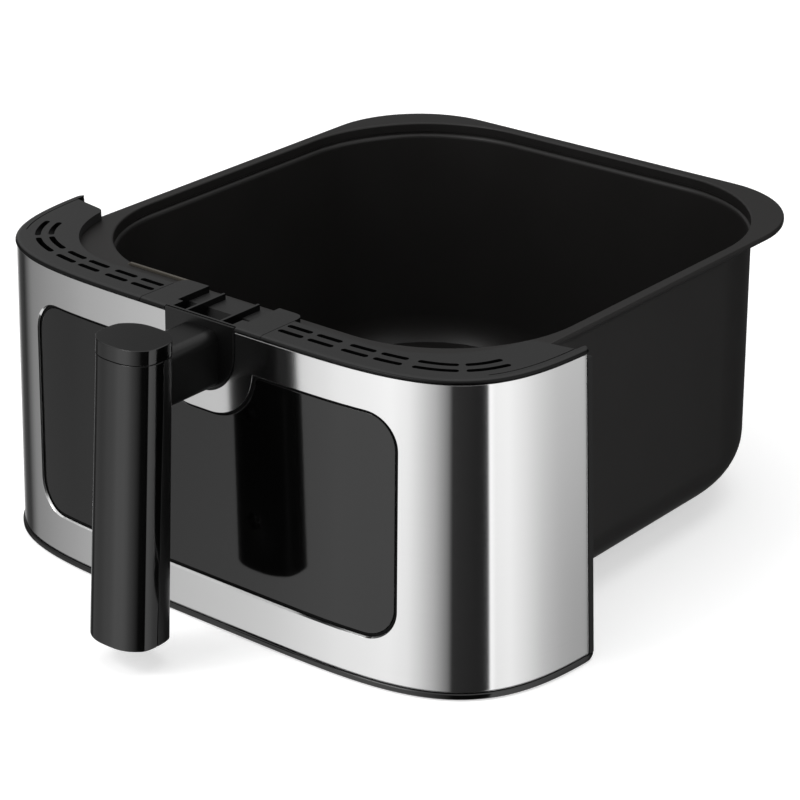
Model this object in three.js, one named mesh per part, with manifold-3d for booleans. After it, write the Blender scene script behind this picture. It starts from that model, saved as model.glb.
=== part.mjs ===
// The pull-out drawer of a square-pan air fryer: a coated pan with its crisper plate, a front panel in
// brushed steel with a gloss window, vent trims along the panel's top, and an upright grip on an arm.
// Millimetres, +Z up, +Y towards the back. The origin lies on the resting plane, under the pan's centre.
import * as THREE from "three";
import { mergeVertices } from "three/addons/utils/BufferGeometryUtils.js";
import Module from "manifold-3d";

const wasm = await Module();
wasm.setup();

// ---------------------------------------------------------------- clearances
const FIT = 0.3; // gap between two pieces that seat on each other
const CUT_MARGIN = 2; // how far a cutting tool runs past the face that it opens

// ---------------------------------------------------------------- pan
const PAN_OPENING_WIDTH = 245.6;
const PAN_OPENING_LENGTH = 253.2;
const PAN_FRONT_RADIUS = 66; // corners of the opening next to the panel
const PAN_BACK_RADIUS = 70;
const PAN_WALL = 1.4;
const PAN_TOP = 140; // top of the rim above the resting plane
const PAN_STEP_DROP = 6.2; // depth of the small inner step under the rim
const PAN_STEP_WIDTH = 1;
const PAN_STEP_SLOPE = 1.6; // height over which the step is formed
const PAN_FLOOR_SWEEP = 46; // how far the floor's curve reaches in from the wall
const PAN_FLOOR_RISE = 34; // height of that curve
const RIM_SIDE = 5.5; // width of the flat rim at the sides
const RIM_FRONT = 16.2; // wider, because it reaches under the trims
const RIM_BACK = 6;
const RIM_RADIUS = 50.5; // the rim's outer corners, tighter than the opening's
const RIM_THICKNESS = 2.9;
const RIM_EDGE_RADIUS = 0.9;

// ---------------------------------------------------------------- crisper plate
const PLATE_Z = 22; // underside of the plate
const PLATE_THICKNESS = 1.5;
const PLATE_CLEARANCE = 4; // free gap from the plate's edge to the pan's wall
const PLATE_SKIRT = 5; // turned-down edge
const PLATE_HOLE_RADIUS = 3.2;
const PLATE_HOLE_PITCH = 27;
const PLATE_HOLE_ROWS = 7;
const PLATE_HOLE_BORDER = 16; // plain border kept free of holes
const PLATE_LEG_RADIUS = 4.5;
const PLATE_LEG_REACH = 62; // of each leg from the plate's two centre lines
const PLATE_FINGER_RADIUS = 13; // lifting hole in the middle
const BUMPER_LENGTH = 22;
const BUMPER_HEIGHT = 9;
const BUMPER_GAP = 0.6; // between the bumper and the pan's curved wall
const BUMPER_GRIP = 4.5; // how far a bumper reaches over the plate

// ---------------------------------------------------------------- front panel
const PANEL_OVERHANG = 26.7; // how much wider than the pan's opening, each side, at the steel's top edge
const PANEL_CURVE_DEPTH = 130.3; // half depth of the plan's superellipse
const PANEL_SQUARENESS = 4.96; // exponent of that superellipse
const PANEL_STEEL_END = 73.9; // depth behind the front at which each steel wing ends
const PANEL_LEAN = 4.5; // how far the steel's lower edge stands outside its upper edge
const PANEL_TO_PAN = 32.8; // from the panel's front to the pan's opening
const STEEL_BOTTOM = 3;
const STEEL_ABOVE_RIM = 2.4;
const STEEL_THICKNESS = 0.7;
const BACKING_WALL = 2.4;
const END_RETURN = 3.2; // the backing's bead behind the steel's end
const END_RETURN_PROUD = 0.2;
const PANEL_STEPS = 44; // stations along the panel from wing to wing

// ---------------------------------------------------------------- window
const WINDOW_SIDE_BAND = 43.7; // steel beside, below and above the window
const WINDOW_LOW_BAND = 18.5;
const WINDOW_TOP_BAND = 17;
const WINDOW_CORNER = 16;
const WINDOW_DIP_RADIUS = 24; // the top edge dips round the handle
const WINDOW_DIP_FLAT = 5.5; // half of the dip's straight bottom
const WINDOW_DIP_DROP = 4.8; // from the notch's centre to the dip's arcs
const WINDOW_DIP_FILLET = 3.5;
const WINDOW_RECESS = 0.2; // insert's face behind the steel's face
const WINDOW_THICKNESS = 2.3;
const GASKET_LIP = 0.6; // width of the seal that shows round the insert
const GASKET_WEB = 0.5; // thickness of the seal behind the insert
const GASKET_WEB_REACH = 5;
const BACKING_LEDGE = 4; // how far the backing's recessed floor reaches past the window
const BACKING_LEDGE_LAP = 0.5;
const BACKING_FLOOR = 2;

// ---------------------------------------------------------------- top trims
const TRIM_RISE = 1.8; // above the steel
const TRIM_PROUD = 0.6; // lip of the trims outside the steel's top edge
const TRIM_EDGE_SWEEP = 2.2; // the rounded outer edge, across
const TRIM_PAN_MARGIN = 1.8; // inner edge beside the pan's opening
const TRIM_INNER_FRONT = 21; // inner edge behind the panel's front
const TRIM_INNER_RADIUS = 52;
const TRIM_END = 76; // the wing's end behind the panel's front, on its outer side
const TRIM_END_SLANT = 8.7; // the wing is this much shorter on its inner side
const TRIM_END_ROUND = 4.5;
const SEAM_HALF_WIDTH = 35; // the joints between the trims and the centre cover
const GROOVE_INSET = 5.7; // fine line along each wing
const GROOVE_WIDTH = 0.6;
const GROOVE_DEPTH = 0.6;
const GROOVE_START = 25;
const VENT_WIDTH = 2.7;
const VENT_OUTER_ROW = 9.8; // rows of slots, behind the panel's face
const VENT_INNER_ROW = 15.9;
const VENT_SEAM_GAP = 1.4; // from the joint to the first slot
const VENT_LENGTH = 13.2;
const VENT_PAIR_GAP = 2.8; // between the two slots of a pair
const VENT_GROUP_GAP = 4.5; // between pairs
const VENT_CORNER_LENGTH = 19.4;
const VENT_CORNER_GAP = 3.2;
const CLIP_PLACE = 60; // middle of each trim's clip, from the centre plane
const CLIP_HALF_WIDTH = 4;
const CLIP_THICKNESS = 1.5;
const CLIP_DROP = 9;
const TRIM_SCREW_DEPTH = 58; // screw under each wing, behind the panel's front
const TRIM_SCREW_INSET = 11.5; // and inside the panel's face
const TRIM_TAB_HALF = 8;
const TRIM_TAB_REACH = 14;
const TRIM_TAB_THICKNESS = 2.4;
const TRIM_TAB_DROP = 2.6; // from the trim's underside to the tab's top

// ---------------------------------------------------------------- centre cover
const COVER_BACK = 28; // its back edge, behind the panel's front
const COVER_CORNER = 5;
const COVER_CLIP_PLACE = 27;
const RECESS_HALF_WIDTH = 17.3; // beside the grip's block
const RECESS_REAR_HALF_WIDTH = 20.5;
const RECESS_WALL = 1; // wall in front of the recess
const RECESS_FLOOR = 0.9; // floor's thickness over the pan's rim
const RECESS_DEPTH = 11.2; // at its deep front part
const RECESS_FLAT = 6.2; // length of the deep floor
const TUB_WALL = 1.5;
const RIB_OFFSET = 10;
const RIB_THICKNESS = 1.3;
const RIB_BELOW_TOP = 0.3;
const RIB_BACK_MARGIN = 1.6;

// ---------------------------------------------------------------- bottom trim
const BOTTOM_TRIM_PROUD = 0.9;
const BOTTOM_TRIM_WIDTH = 6;
const BOTTOM_TRIM_EDGE = 0.8;
const BOTTOM_RAIL_HEIGHT = 6.3;
const BOTTOM_RAIL_THICKNESS = 1.5;

// ---------------------------------------------------------------- handle
const NOTCH_RADIUS = 20.3; // round-bottomed notch in the steel
const NOTCH_DROP = 11.1; // from the steel's top to the round's centre
const BLOCK_GAP = 0.45;
const BLOCK_PROUD = 0.5;
const BLOCK_LIP = 0.8; // back of the block's thin top edge, behind the panel's front
const BLOCK_BELOW_TRIM = 0.2;
const ARM_HALF_WIDTH = 11;
const ARM_HEIGHT = 25;
const ARM_BELOW_TRIM = 4.2;
const ARM_RADIUS = 5;
const ARM_LOW_RADIUS = 2.5;
const ARM_GRIP_LAP = 6; // how far the arm reaches into the grip
const GRIP_ABOVE_TRIM = 3.2;
const GRIP_LENGTH = 134.6;
const GRIP_REACH = 39.2; // from the panel's face to the grip's axis, at the top
const GRIP_LEAN = 11; // how far the grip's foot stands further out
const GRIP_HALF_WIDTH = 16.6; // at the top
const GRIP_HALF_DEPTH = 13.2;
const GRIP_FLARE = 0.9; // how much larger each half is at the foot
const GRIP_FACE_BULGE = 4.4; // rise of the front and back faces
const GRIP_SIDE_BULGE = 2.6;
const GRIP_CORNER = 0.07; // share of each face taken by the rounded corner
const GRIP_WALL = 2.4;
const GRIP_SPLIT = 3.2; // parting plane, behind the grip's axis
const GRIP_END_ROUND = 1.2;
const CAP_HEIGHT = 6.7;
const CAP_EDGE = 0.8;
const CAP_INSET = 0.25; // the cap is this much smaller than the grip below it
const PLUG_WALL = 1.6;
const PLUG_HEIGHT = 3;

// ---------------------------------------------------------------- pan bracket
const BRACKET_SHEET = 2;
const BRACKET_HALF_WIDTH = 34;
const BRACKET_HEIGHT = 48.5;
const BRACKET_BELOW_COVER = 3;
const BRACKET_FOOT = 10;
const WEB_BEHIND = 8; // front of the web behind the panel's front

// ---------------------------------------------------------------- screws
const SCREW_RADIUS = 1.9;
const SCREW_HEAD_RADIUS = 3.8;
const SCREW_HEAD_HEIGHT = 2.6;
const SCREW_DRIVE_RADIUS = 1.5;
const SCREW_DRIVE_DEPTH = 1.4;
const BOSS_WALL = 2.2;
const PANEL_SCREW_MARGIN = 8; // from the bracket's edges
const PANEL_SCREW_LENGTH = 6;
const HANDLE_SCREW_X = 6.5;
const HANDLE_SCREW_RISE = 8; // above the arm's underside
const HANDLE_SCREW_LENGTH = 18;
const GRIP_SCREW_MARGIN = 25; // from the grip's foot and from the arm
const GRIP_SCREW_BITE = 8;
const GRIP_POCKET = 5; // depth of the screw's pocket in the grip's back
const TRIM_SCREW_BITE = 4.4;
const BLIND_MARGIN = 1; // free hole beyond a screw's tip

// ---------------------------------------------------------------- roundness
const CORNER_STEPS = 6;
const PAN_CORNER_STEPS = 9;
const FLOOR_STEPS = 8;
const ROUND_STEPS = 12;
const HOLE_STEPS = 8;
const SLOT_STEPS = 3;
const EDGE_STEPS = 3;
const GRIP_FACE_STEPS = 7;

// ---------------------------------------------------------------- derived places
const FRONT_Y = -PAN_OPENING_LENGTH / 2 - PANEL_TO_PAN;
const PANEL_HALF_WIDTH = PAN_OPENING_WIDTH / 2 + PANEL_OVERHANG;
const STEEL_TOP = PAN_TOP + STEEL_ABOVE_RIM;
const STEEL_HEIGHT = STEEL_TOP - STEEL_BOTTOM;
const BACKING_FACE = STEEL_THICKNESS + FIT;
const BACKING_INNER = BACKING_FACE + BACKING_WALL;
const PANEL_END = PANEL_STEEL_END + END_RETURN;
const WINDOW_HALF_WIDTH = PANEL_HALF_WIDTH - WINDOW_SIDE_BAND;
const WINDOW_BOTTOM = STEEL_BOTTOM + WINDOW_LOW_BAND;
const WINDOW_TOP = STEEL_TOP - WINDOW_TOP_BAND;
const NOTCH_Z = STEEL_TOP - NOTCH_DROP;
const WINDOW_DIP_Z = NOTCH_Z - WINDOW_DIP_DROP;
const TRIM_TOP = STEEL_TOP + TRIM_RISE;
const TRIM_INNER_SIDE = PAN_OPENING_WIDTH / 2 + TRIM_PAN_MARGIN;
const TRIM_BOTTOM = PAN_TOP + FIT;
const BACKING_TOP = TRIM_BOTTOM - FIT;
const TRIM_LIP = STEEL_TOP + FIT;
const BOTTOM_TRIM_TOP = STEEL_BOTTOM - FIT;
const WINDOW_BACK = WINDOW_RECESS + WINDOW_THICKNESS;
const GASKET_BACK = WINDOW_BACK + FIT + GASKET_WEB;
const BACKING_FLOOR_FACE = GASKET_BACK + FIT;
const HOLE_RADIUS = SCREW_RADIUS + FIT;
const BOSS_RADIUS = HOLE_RADIUS + BOSS_WALL;
const WEB_FRONT_Y = FRONT_Y + WEB_BEHIND;
const WEB_BACK_Y = WEB_FRONT_Y + BRACKET_SHEET;
const BOSS_END_Y = WEB_FRONT_Y - FIT;
const TUB_FRONT_Y = FRONT_Y + BLOCK_LIP + FIT;
const RECESS_Z = TRIM_TOP - RECESS_DEPTH;
const TUB_BOTTOM = RECESS_Z - TUB_WALL;
const BRACKET_TOP = TUB_BOTTOM - BRACKET_BELOW_COVER;
const BRACKET_BOTTOM = BRACKET_TOP - BRACKET_HEIGHT;
const ARM_TOP = TRIM_TOP - ARM_BELOW_TRIM;
const ARM_BOTTOM = ARM_TOP - ARM_HEIGHT;
const GRIP_TOP = TRIM_TOP + GRIP_ABOVE_TRIM;
const GRIP_BOTTOM = GRIP_TOP - GRIP_LENGTH;
const GRIP_SEAM = GRIP_TOP - CAP_HEIGHT;
const TOOL_FRONT_Y = FRONT_Y - GRIP_REACH;
const TOOL_BACK_Y = FRONT_Y + PANEL_TO_PAN;

// ================================================================ solids
// A closed solid from vertices and triangles; a shell that came out inside out is turned.
function solidFrom(vertices, triangles) {
  const point = (index) => new THREE.Vector3(...vertices[index]);
  let volume = 0;
  for (const [a, b, c] of triangles) {
    volume += point(a).dot(point(b).cross(point(c)));
  }
  const turned = volume < 0 ? triangles.map(([a, b, c]) => [a, c, b]) : triangles;
  return new wasm.Manifold(new wasm.Mesh({
    numProp: 3,
    vertProperties: new Float32Array(vertices.flat()),
    triVerts: new Uint32Array(turned.flat()),
  }));
}

// A three.js geometry as a solid.
function solidOf(geometry) {
  const bare = geometry.clone();
  bare.deleteAttribute("normal");
  bare.deleteAttribute("uv");
  const merged = mergeVertices(bare);
  const place = merged.getAttribute("position");
  const vertices = [];
  for (let i = 0; i < place.count; i += 1) {
    vertices.push([place.getX(i), place.getY(i), place.getZ(i)]);
  }
  const index = Array.from(merged.getIndex().array);
  const triangles = [];
  for (let i = 0; i < index.length; i += 3) {
    triangles.push(index.slice(i, i + 3));
  }
  return solidFrom(vertices, triangles);
}

// Triangles that fill a polygon, wound the same way round as its points.
function fill(points) {
  const flat = points.map((p) => new THREE.Vector2(...p));
  const triangles = THREE.ShapeUtils.triangulateShape(flat, []);
  return THREE.ShapeUtils.isClockWise(flat) ? triangles.map(([a, b, c]) => [a, c, b]) : triangles;
}

function union(solids) {
  return solids.reduce((whole, solid) => whole.add(solid));
}

function cutAll(body, tools) {
  return tools.reduce((whole, tool) => whole.subtract(tool), body);
}

function box(low, high) {
  const size = high.map((value, axis) => value - low[axis]);
  const geometry = new THREE.BoxGeometry(...size);
  geometry.translate(...low.map((value, axis) => value + size[axis] / 2));
  return solidOf(geometry);
}

// A cylinder along Y, from y0 to y1.
function rodY(x, z, radius, y0, y1, steps = ROUND_STEPS) {
  const geometry = new THREE.CylinderGeometry(radius, radius, y1 - y0, steps);
  geometry.translate(x, (y0 + y1) / 2, z);
  return solidOf(geometry);
}

// A cylinder along Z, from z0 to z1.
function rodZ(x, y, radius, z0, z1, steps = ROUND_STEPS) {
  const geometry = new THREE.CylinderGeometry(radius, radius, z1 - z0, steps);
  geometry.rotateX(Math.PI / 2);
  geometry.translate(x, y, (z0 + z1) / 2);
  return solidOf(geometry);
}

// A shape drawn in X and Z, extruded along Y.
function prismY(shape, y0, y1) {
  const geometry = new THREE.ExtrudeGeometry(shape, {
    depth: y1 - y0, bevelEnabled: false, curveSegments: CORNER_STEPS,
  });
  geometry.rotateX(Math.PI / 2);
  geometry.translate(0, y1, 0);
  return solidOf(geometry);
}

// A polygon of [y, z] points, extruded along X.
function prismX(points, x0, x1) {
  const count = points.length;
  const vertices = [x0, x1].flatMap((x) => points.map(([y, z]) => [x, y, z]));
  const triangles = [];
  for (const [a, b, c] of fill(points)) {
    triangles.push([a, c, b], [a + count, b + count, c + count]);
  }
  for (let j = 0; j < count; j += 1) {
    const k = (j + 1) % count;
    triangles.push([j, k, k + count], [j, k + count, j + count]);
  }
  return solidFrom(vertices, triangles);
}

// Rings of [x, y] points, one above another, joined into a closed body with both ends capped.
function loft(layers) {
  const count = layers[0].outline.length;
  const vertices = layers.flatMap(({ z, outline }) => outline.map(([x, y]) => [x, y, z]));
  const triangles = [];
  layers.slice(1).forEach((layer, i) => {
    const low = i * count;
    for (let j = 0; j < count; j += 1) {
      const k = (j + 1) % count;
      triangles.push([low + j, low + k, low + count + k], [low + j, low + count + k, low + count + j]);
    }
  });
  const top = (layers.length - 1) * count;
  for (const [a, b, c] of fill(layers[0].outline)) {
    triangles.push([a, c, b]);
  }
  for (const [a, b, c] of fill(layers.at(-1).outline)) {
    triangles.push([top + a, top + b, top + c]);
  }
  return solidFrom(vertices, triangles);
}

// ================================================================ the panel's plan
// A superellipse, flat across the front and rounded into the wings, given by its angle:
// 0 points to the right wing, a quarter turn to the front's centre, half a turn to the left wing.
function planAt(theta) {
  const power = 2 / PANEL_SQUARENESS;
  const across = Math.sign(Math.cos(theta)) * Math.abs(Math.cos(theta)) ** power;
  const along = Math.sin(theta) ** power;
  const steepness = PANEL_SQUARENESS - 1;
  const normal = new THREE.Vector2(
    Math.sign(across) * Math.abs(across) ** steepness / PANEL_HALF_WIDTH,
    -(along ** steepness) / PANEL_CURVE_DEPTH,
  ).normalize();
  const y = FRONT_Y + PANEL_CURVE_DEPTH * (1 - along);
  return { x: PANEL_HALF_WIDTH * across, y, normal };
}

// A point at an inset behind the panel's face, at the top edge's level.
function planInset(theta, inset) {
  const { x, y, normal } = planAt(theta);
  return [x - normal.x * inset, y - normal.y * inset];
}

// The angle, on the right, at which the plan lies this deep behind the front.
function thetaAtDepth(depth) {
  return Math.asin((1 - depth / PANEL_CURVE_DEPTH) ** (PANEL_SQUARENESS / 2));
}

// The angle, on the right, at which the plan lies this far from the centre plane.
function thetaAtSide(x) {
  return Math.acos((x / PANEL_HALF_WIDTH) ** (PANEL_SQUARENESS / 2));
}

// The angle, on the right, reached after running a length along an inset of the plan.
function thetaAtRun(length, inset) {
  const samples = 600;
  const last = thetaAtDepth(PANEL_END);
  let run = 0;
  let previous = planInset(Math.PI / 2, inset);
  for (let i = 1; i <= samples; i += 1) {
    const theta = Math.PI / 2 - (Math.PI / 2 - last) * (i / samples) ** 3;
    const here = planInset(theta, inset);
    run += Math.hypot(here[0] - previous[0], here[1] - previous[1]);
    if (run >= length) {
      return theta;
    }
    previous = here;
  }
  return last;
}

// How far the panel stands out at a height, against its top edge.
function leanAt(z) {
  return PANEL_LEAN * Math.max(0, (STEEL_TOP - z) / STEEL_HEIGHT);
}

// A section of [inset, z] points swept along the plan from one angle to another.
function sweepPanel(section, from, to, steps) {
  const count = section.length;
  const vertices = [];
  for (let i = 0; i <= steps; i += 1) {
    const theta = from + (to - from) * (i / steps);
    for (const [inset, z] of section) {
      vertices.push([...planInset(theta, inset - leanAt(z)), z]);
    }
  }
  const triangles = [];
  for (let i = 0; i < steps; i += 1) {
    for (let j = 0; j < count; j += 1) {
      const a = i * count + j;
      const b = i * count + ((j + 1) % count);
      triangles.push([a, b, b + count], [a, b + count, a + count]);
    }
  }
  const end = steps * count;
  for (const [a, b, c] of fill(section)) {
    triangles.push([a, c, b], [end + a, end + b, end + c]);
  }
  return solidFrom(vertices, triangles);
}

function wallSection(outer, inner, low, high) {
  return [[outer, low], [inner, low], [inner, high], [outer, high]];
}

// A wall of the panel from wing to wing, ending at a depth behind the front.
function panelWall(outer, inner, low, high, endDepth) {
  const start = thetaAtDepth(endDepth);
  return sweepPanel(wallSection(outer, inner, low, high), start, Math.PI - start, PANEL_STEPS);
}

// ================================================================ window shapes
// The window's outline in X and Z, drawn in by an inset (or out, where the inset is negative).
function windowShape(inset) {
  const half = WINDOW_HALF_WIDTH - inset;
  const low = WINDOW_BOTTOM + inset;
  const high = WINDOW_TOP - inset;
  const corner = Math.max(WINDOW_CORNER - inset, FIT);
  const dip = WINDOW_DIP_RADIUS + inset;
  const fillet = Math.max(WINDOW_DIP_FILLET - inset, FIT);
  const filletZ = high - fillet;
  const filletX = Math.sqrt((dip + fillet) ** 2 - (filletZ - WINDOW_DIP_Z) ** 2);
  const slope = Math.atan2(filletZ - WINDOW_DIP_Z, filletX);
  const shape = new THREE.Shape();
  shape.moveTo(-half + corner, low);
  shape.lineTo(half - corner, low);
  shape.absarc(half - corner, low + corner, corner, -Math.PI / 2, 0, false);
  shape.absarc(half - corner, high - corner, corner, 0, Math.PI / 2, false);
  shape.absarc(filletX + WINDOW_DIP_FLAT, filletZ, fillet, Math.PI / 2, Math.PI + slope, false);
  shape.absarc(WINDOW_DIP_FLAT, WINDOW_DIP_Z, dip, slope, -Math.PI / 2, true);
  shape.absarc(-WINDOW_DIP_FLAT, WINDOW_DIP_Z, dip, -Math.PI / 2, -Math.PI - slope, true);
  shape.absarc(-filletX - WINDOW_DIP_FLAT, filletZ, fillet, -slope, Math.PI / 2, false);
  shape.absarc(-half + corner, high - corner, corner, Math.PI / 2, Math.PI, false);
  shape.absarc(-half + corner, low + corner, corner, Math.PI, Math.PI * 1.5, false);
  return shape;
}

function windowPrism(inset) {
  return prismY(windowShape(inset), TOOL_FRONT_Y, TOOL_BACK_Y);
}

// The round-bottomed notch for the handle's block.
function notchPrism(inset) {
  const radius = NOTCH_RADIUS - inset;
  const shape = new THREE.Shape();
  shape.moveTo(radius, TRIM_TOP + CUT_MARGIN);
  shape.lineTo(-radius, TRIM_TOP + CUT_MARGIN);
  shape.lineTo(-radius, NOTCH_Z);
  shape.absarc(0, NOTCH_Z, radius, Math.PI, Math.PI * 2, false);
  return prismY(shape, TOOL_FRONT_Y, TOOL_BACK_Y);
}

// ================================================================ pan
// A rounded rectangle round the pan's centre, drawn in from the opening by an inset.
function panOutline(inset) {
  return roundedOutline({
    side: PAN_OPENING_WIDTH / 2 - inset,
    front: -PAN_OPENING_LENGTH / 2 + inset,
    back: PAN_OPENING_LENGTH / 2 - inset,
    frontRadius: PAN_FRONT_RADIUS - inset,
    backRadius: PAN_BACK_RADIUS - inset,
  });
}

function rimOutline(inset) {
  return roundedOutline({
    side: PAN_OPENING_WIDTH / 2 + RIM_SIDE - inset,
    front: -PAN_OPENING_LENGTH / 2 - RIM_FRONT + inset,
    back: PAN_OPENING_LENGTH / 2 + RIM_BACK - inset,
    frontRadius: RIM_RADIUS - inset,
    backRadius: RIM_RADIUS - inset,
  });
}

function roundedOutline({ side, front, back, frontRadius, backRadius }) {
  const corners = [
    [side - frontRadius, front + frontRadius, frontRadius, -Math.PI / 2],
    [side - backRadius, back - backRadius, backRadius, 0],
    [-side + backRadius, back - backRadius, backRadius, Math.PI / 2],
    [-side + frontRadius, front + frontRadius, frontRadius, Math.PI],
  ];
  return corners.flatMap(([x, y, radius, start]) => {
    const points = [];
    for (let i = 0; i <= PAN_CORNER_STEPS; i += 1) {
      const angle = start + (Math.PI / 2) * (i / PAN_CORNER_STEPS);
      points.push([x + radius * Math.cos(angle), y + radius * Math.sin(angle)]);
    }
    return points;
  });
}

// The inset of the pan's inner wall at a height: upright above, sweeping in to the floor below.
function panInnerInset(z) {
  const height = Math.max(0, PAN_WALL + PAN_FLOOR_RISE - z) / PAN_FLOOR_RISE;
  return PAN_STEP_WIDTH + PAN_FLOOR_SWEEP * (1 - Math.sqrt(Math.max(0, 1 - height ** 2)));
}

function makePan() {
  const stepZ = PAN_TOP - PAN_STEP_DROP;
  const layers = [];
  for (let i = 0; i <= FLOOR_STEPS; i += 1) {
    const angle = (Math.PI / 2) * (i / FLOOR_STEPS);
    layers.push({
      z: PAN_FLOOR_RISE * (1 - Math.cos(angle)),
      outline: panOutline(PAN_STEP_WIDTH - PAN_WALL + PAN_FLOOR_SWEEP * (1 - Math.sin(angle))),
    });
  }
  const rimLow = PAN_TOP - RIM_THICKNESS;
  layers.push({ z: stepZ - PAN_STEP_SLOPE, outline: panOutline(PAN_STEP_WIDTH - PAN_WALL) });
  layers.push({ z: stepZ, outline: panOutline(-PAN_WALL) });
  layers.push({ z: rimLow, outline: panOutline(-PAN_WALL) });
  layers.push({ z: rimLow, outline: rimOutline(RIM_EDGE_RADIUS) });
  layers.push({ z: rimLow + RIM_EDGE_RADIUS, outline: rimOutline(0) });
  layers.push({ z: PAN_TOP - RIM_EDGE_RADIUS, outline: rimOutline(0) });
  layers.push({ z: PAN_TOP, outline: rimOutline(RIM_EDGE_RADIUS) });
  layers.push({ z: PAN_TOP, outline: panOutline(-RIM_EDGE_RADIUS) });
  layers.push({ z: PAN_TOP - RIM_EDGE_RADIUS, outline: panOutline(0) });
  layers.push({ z: stepZ + PAN_STEP_SLOPE / 2, outline: panOutline(0) });
  layers.push({ z: stepZ, outline: panOutline(PAN_STEP_WIDTH) });
  for (let i = FLOOR_STEPS; i >= 0; i -= 1) {
    const angle = (Math.PI / 2) * (i / FLOOR_STEPS);
    layers.push({
      z: PAN_WALL + PAN_FLOOR_RISE * (1 - Math.cos(angle)),
      outline: panOutline(PAN_STEP_WIDTH + PAN_FLOOR_SWEEP * (1 - Math.sin(angle))),
    });
  }
  return loft(layers);
}

// ================================================================ crisper plate
const PLATE_TOP = PLATE_Z + PLATE_THICKNESS;
const SKIRT_BOTTOM = PLATE_TOP - PLATE_SKIRT;
const PLATE_INSET = panInnerInset(SKIRT_BOTTOM) + PLATE_CLEARANCE;

function plateHoles() {
  const holes = [];
  const middle = (PLATE_HOLE_ROWS - 1) / 2;
  const reach = PAN_OPENING_WIDTH / 2 - PLATE_INSET - PLATE_HOLE_BORDER;
  for (let row = 0; row < PLATE_HOLE_ROWS; row += 1) {
    for (let column = 0; column < PLATE_HOLE_ROWS; column += 1) {
      const x = (column - middle) * PLATE_HOLE_PITCH;
      const y = (row - middle) * PLATE_HOLE_PITCH;
      const nearLeg = Math.hypot(Math.abs(x) - PLATE_LEG_REACH, Math.abs(y) - PLATE_LEG_REACH)
        < PLATE_LEG_RADIUS + PLATE_HOLE_RADIUS + PLATE_THICKNESS;
      const nearFinger = Math.hypot(x, y) < PLATE_FINGER_RADIUS + PLATE_HOLE_RADIUS;
      if (Math.hypot(x, y) < reach && !nearLeg && !nearFinger) {
        holes.push([x, y]);
      }
    }
  }
  return holes;
}

function makePlate() {
  const body = loft([
    { z: SKIRT_BOTTOM, outline: panOutline(PLATE_INSET) },
    { z: PLATE_TOP - PLATE_THICKNESS / 2, outline: panOutline(PLATE_INSET) },
    { z: PLATE_TOP, outline: panOutline(PLATE_INSET + PLATE_THICKNESS / 2) },
  ]);
  const hollow = loft([
    { z: SKIRT_BOTTOM - CUT_MARGIN, outline: panOutline(PLATE_INSET + PLATE_THICKNESS) },
    { z: PLATE_Z, outline: panOutline(PLATE_INSET + PLATE_THICKNESS) },
  ]);
  const through = [PLATE_Z - CUT_MARGIN, PLATE_TOP + CUT_MARGIN];
  const holes = plateHoles().map(([x, y]) => rodZ(x, y, PLATE_HOLE_RADIUS, ...through, HOLE_STEPS));
  holes.push(rodZ(0, 0, PLATE_FINGER_RADIUS, ...through));
  const legs = [-1, 1].flatMap((sx) => [-1, 1].map((sy) => rodZ(
    sx * PLATE_LEG_REACH, sy * PLATE_LEG_REACH, PLATE_LEG_RADIUS, PAN_WALL + FIT, PLATE_TOP - FIT,
  )));
  return union([cutAll(body.subtract(hollow), holes), ...legs]);
}

// A silicone bumper that straddles the plate's edge and bears on the pan's wall. It is made at the
// right-hand edge and turned to each side; reach is the distance to that side's straight wall.
function makeBumper(reach, turn) {
  const low = SKIRT_BOTTOM - FIT - PLATE_THICKNESS;
  const high = low + BUMPER_HEIGHT;
  const face = reach - panInnerInset(low) - BUMPER_GAP;
  const plateEdge = reach - PLATE_INSET;
  const outer = box([plateEdge - BUMPER_GRIP, -BUMPER_LENGTH / 2, low], [face, BUMPER_LENGTH / 2, high]);
  const slot = box(
    [plateEdge - BUMPER_GRIP - CUT_MARGIN, -BUMPER_LENGTH, SKIRT_BOTTOM - FIT],
    [plateEdge + FIT, BUMPER_LENGTH, PLATE_TOP + FIT],
  );
  return outer.subtract(slot).rotate([0, 0, turn]);
}

// ================================================================ panel
function makeSteelSkin() {
  return panelWall(0, STEEL_THICKNESS, STEEL_BOTTOM, STEEL_TOP, PANEL_STEEL_END)
    .subtract(windowPrism(0))
    .subtract(notchPrism(0));
}

function makeWindowInsert() {
  return panelWall(WINDOW_RECESS, WINDOW_BACK, STEEL_BOTTOM, STEEL_TOP, PANEL_STEEL_END)
    .intersect(windowPrism(FIT + GASKET_LIP + FIT));
}

function makeGasket() {
  const outer = windowPrism(FIT);
  const lip = panelWall(WINDOW_RECESS / 2, GASKET_BACK, STEEL_BOTTOM, STEEL_TOP, PANEL_STEEL_END)
    .intersect(outer)
    .subtract(windowPrism(FIT + GASKET_LIP));
  const web = panelWall(GASKET_BACK - GASKET_WEB, GASKET_BACK, STEEL_BOTTOM, STEEL_TOP, PANEL_STEEL_END)
    .intersect(outer)
    .subtract(windowPrism(FIT + GASKET_WEB_REACH));
  return lip.add(web);
}

function panelScrewPlaces() {
  const x = BRACKET_HALF_WIDTH - PANEL_SCREW_MARGIN;
  const heights = [BRACKET_BOTTOM + PANEL_SCREW_MARGIN, BRACKET_TOP - PANEL_SCREW_MARGIN];
  return [-1, 1].flatMap((side) => heights.map((z) => [side * x, z]));
}

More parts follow.
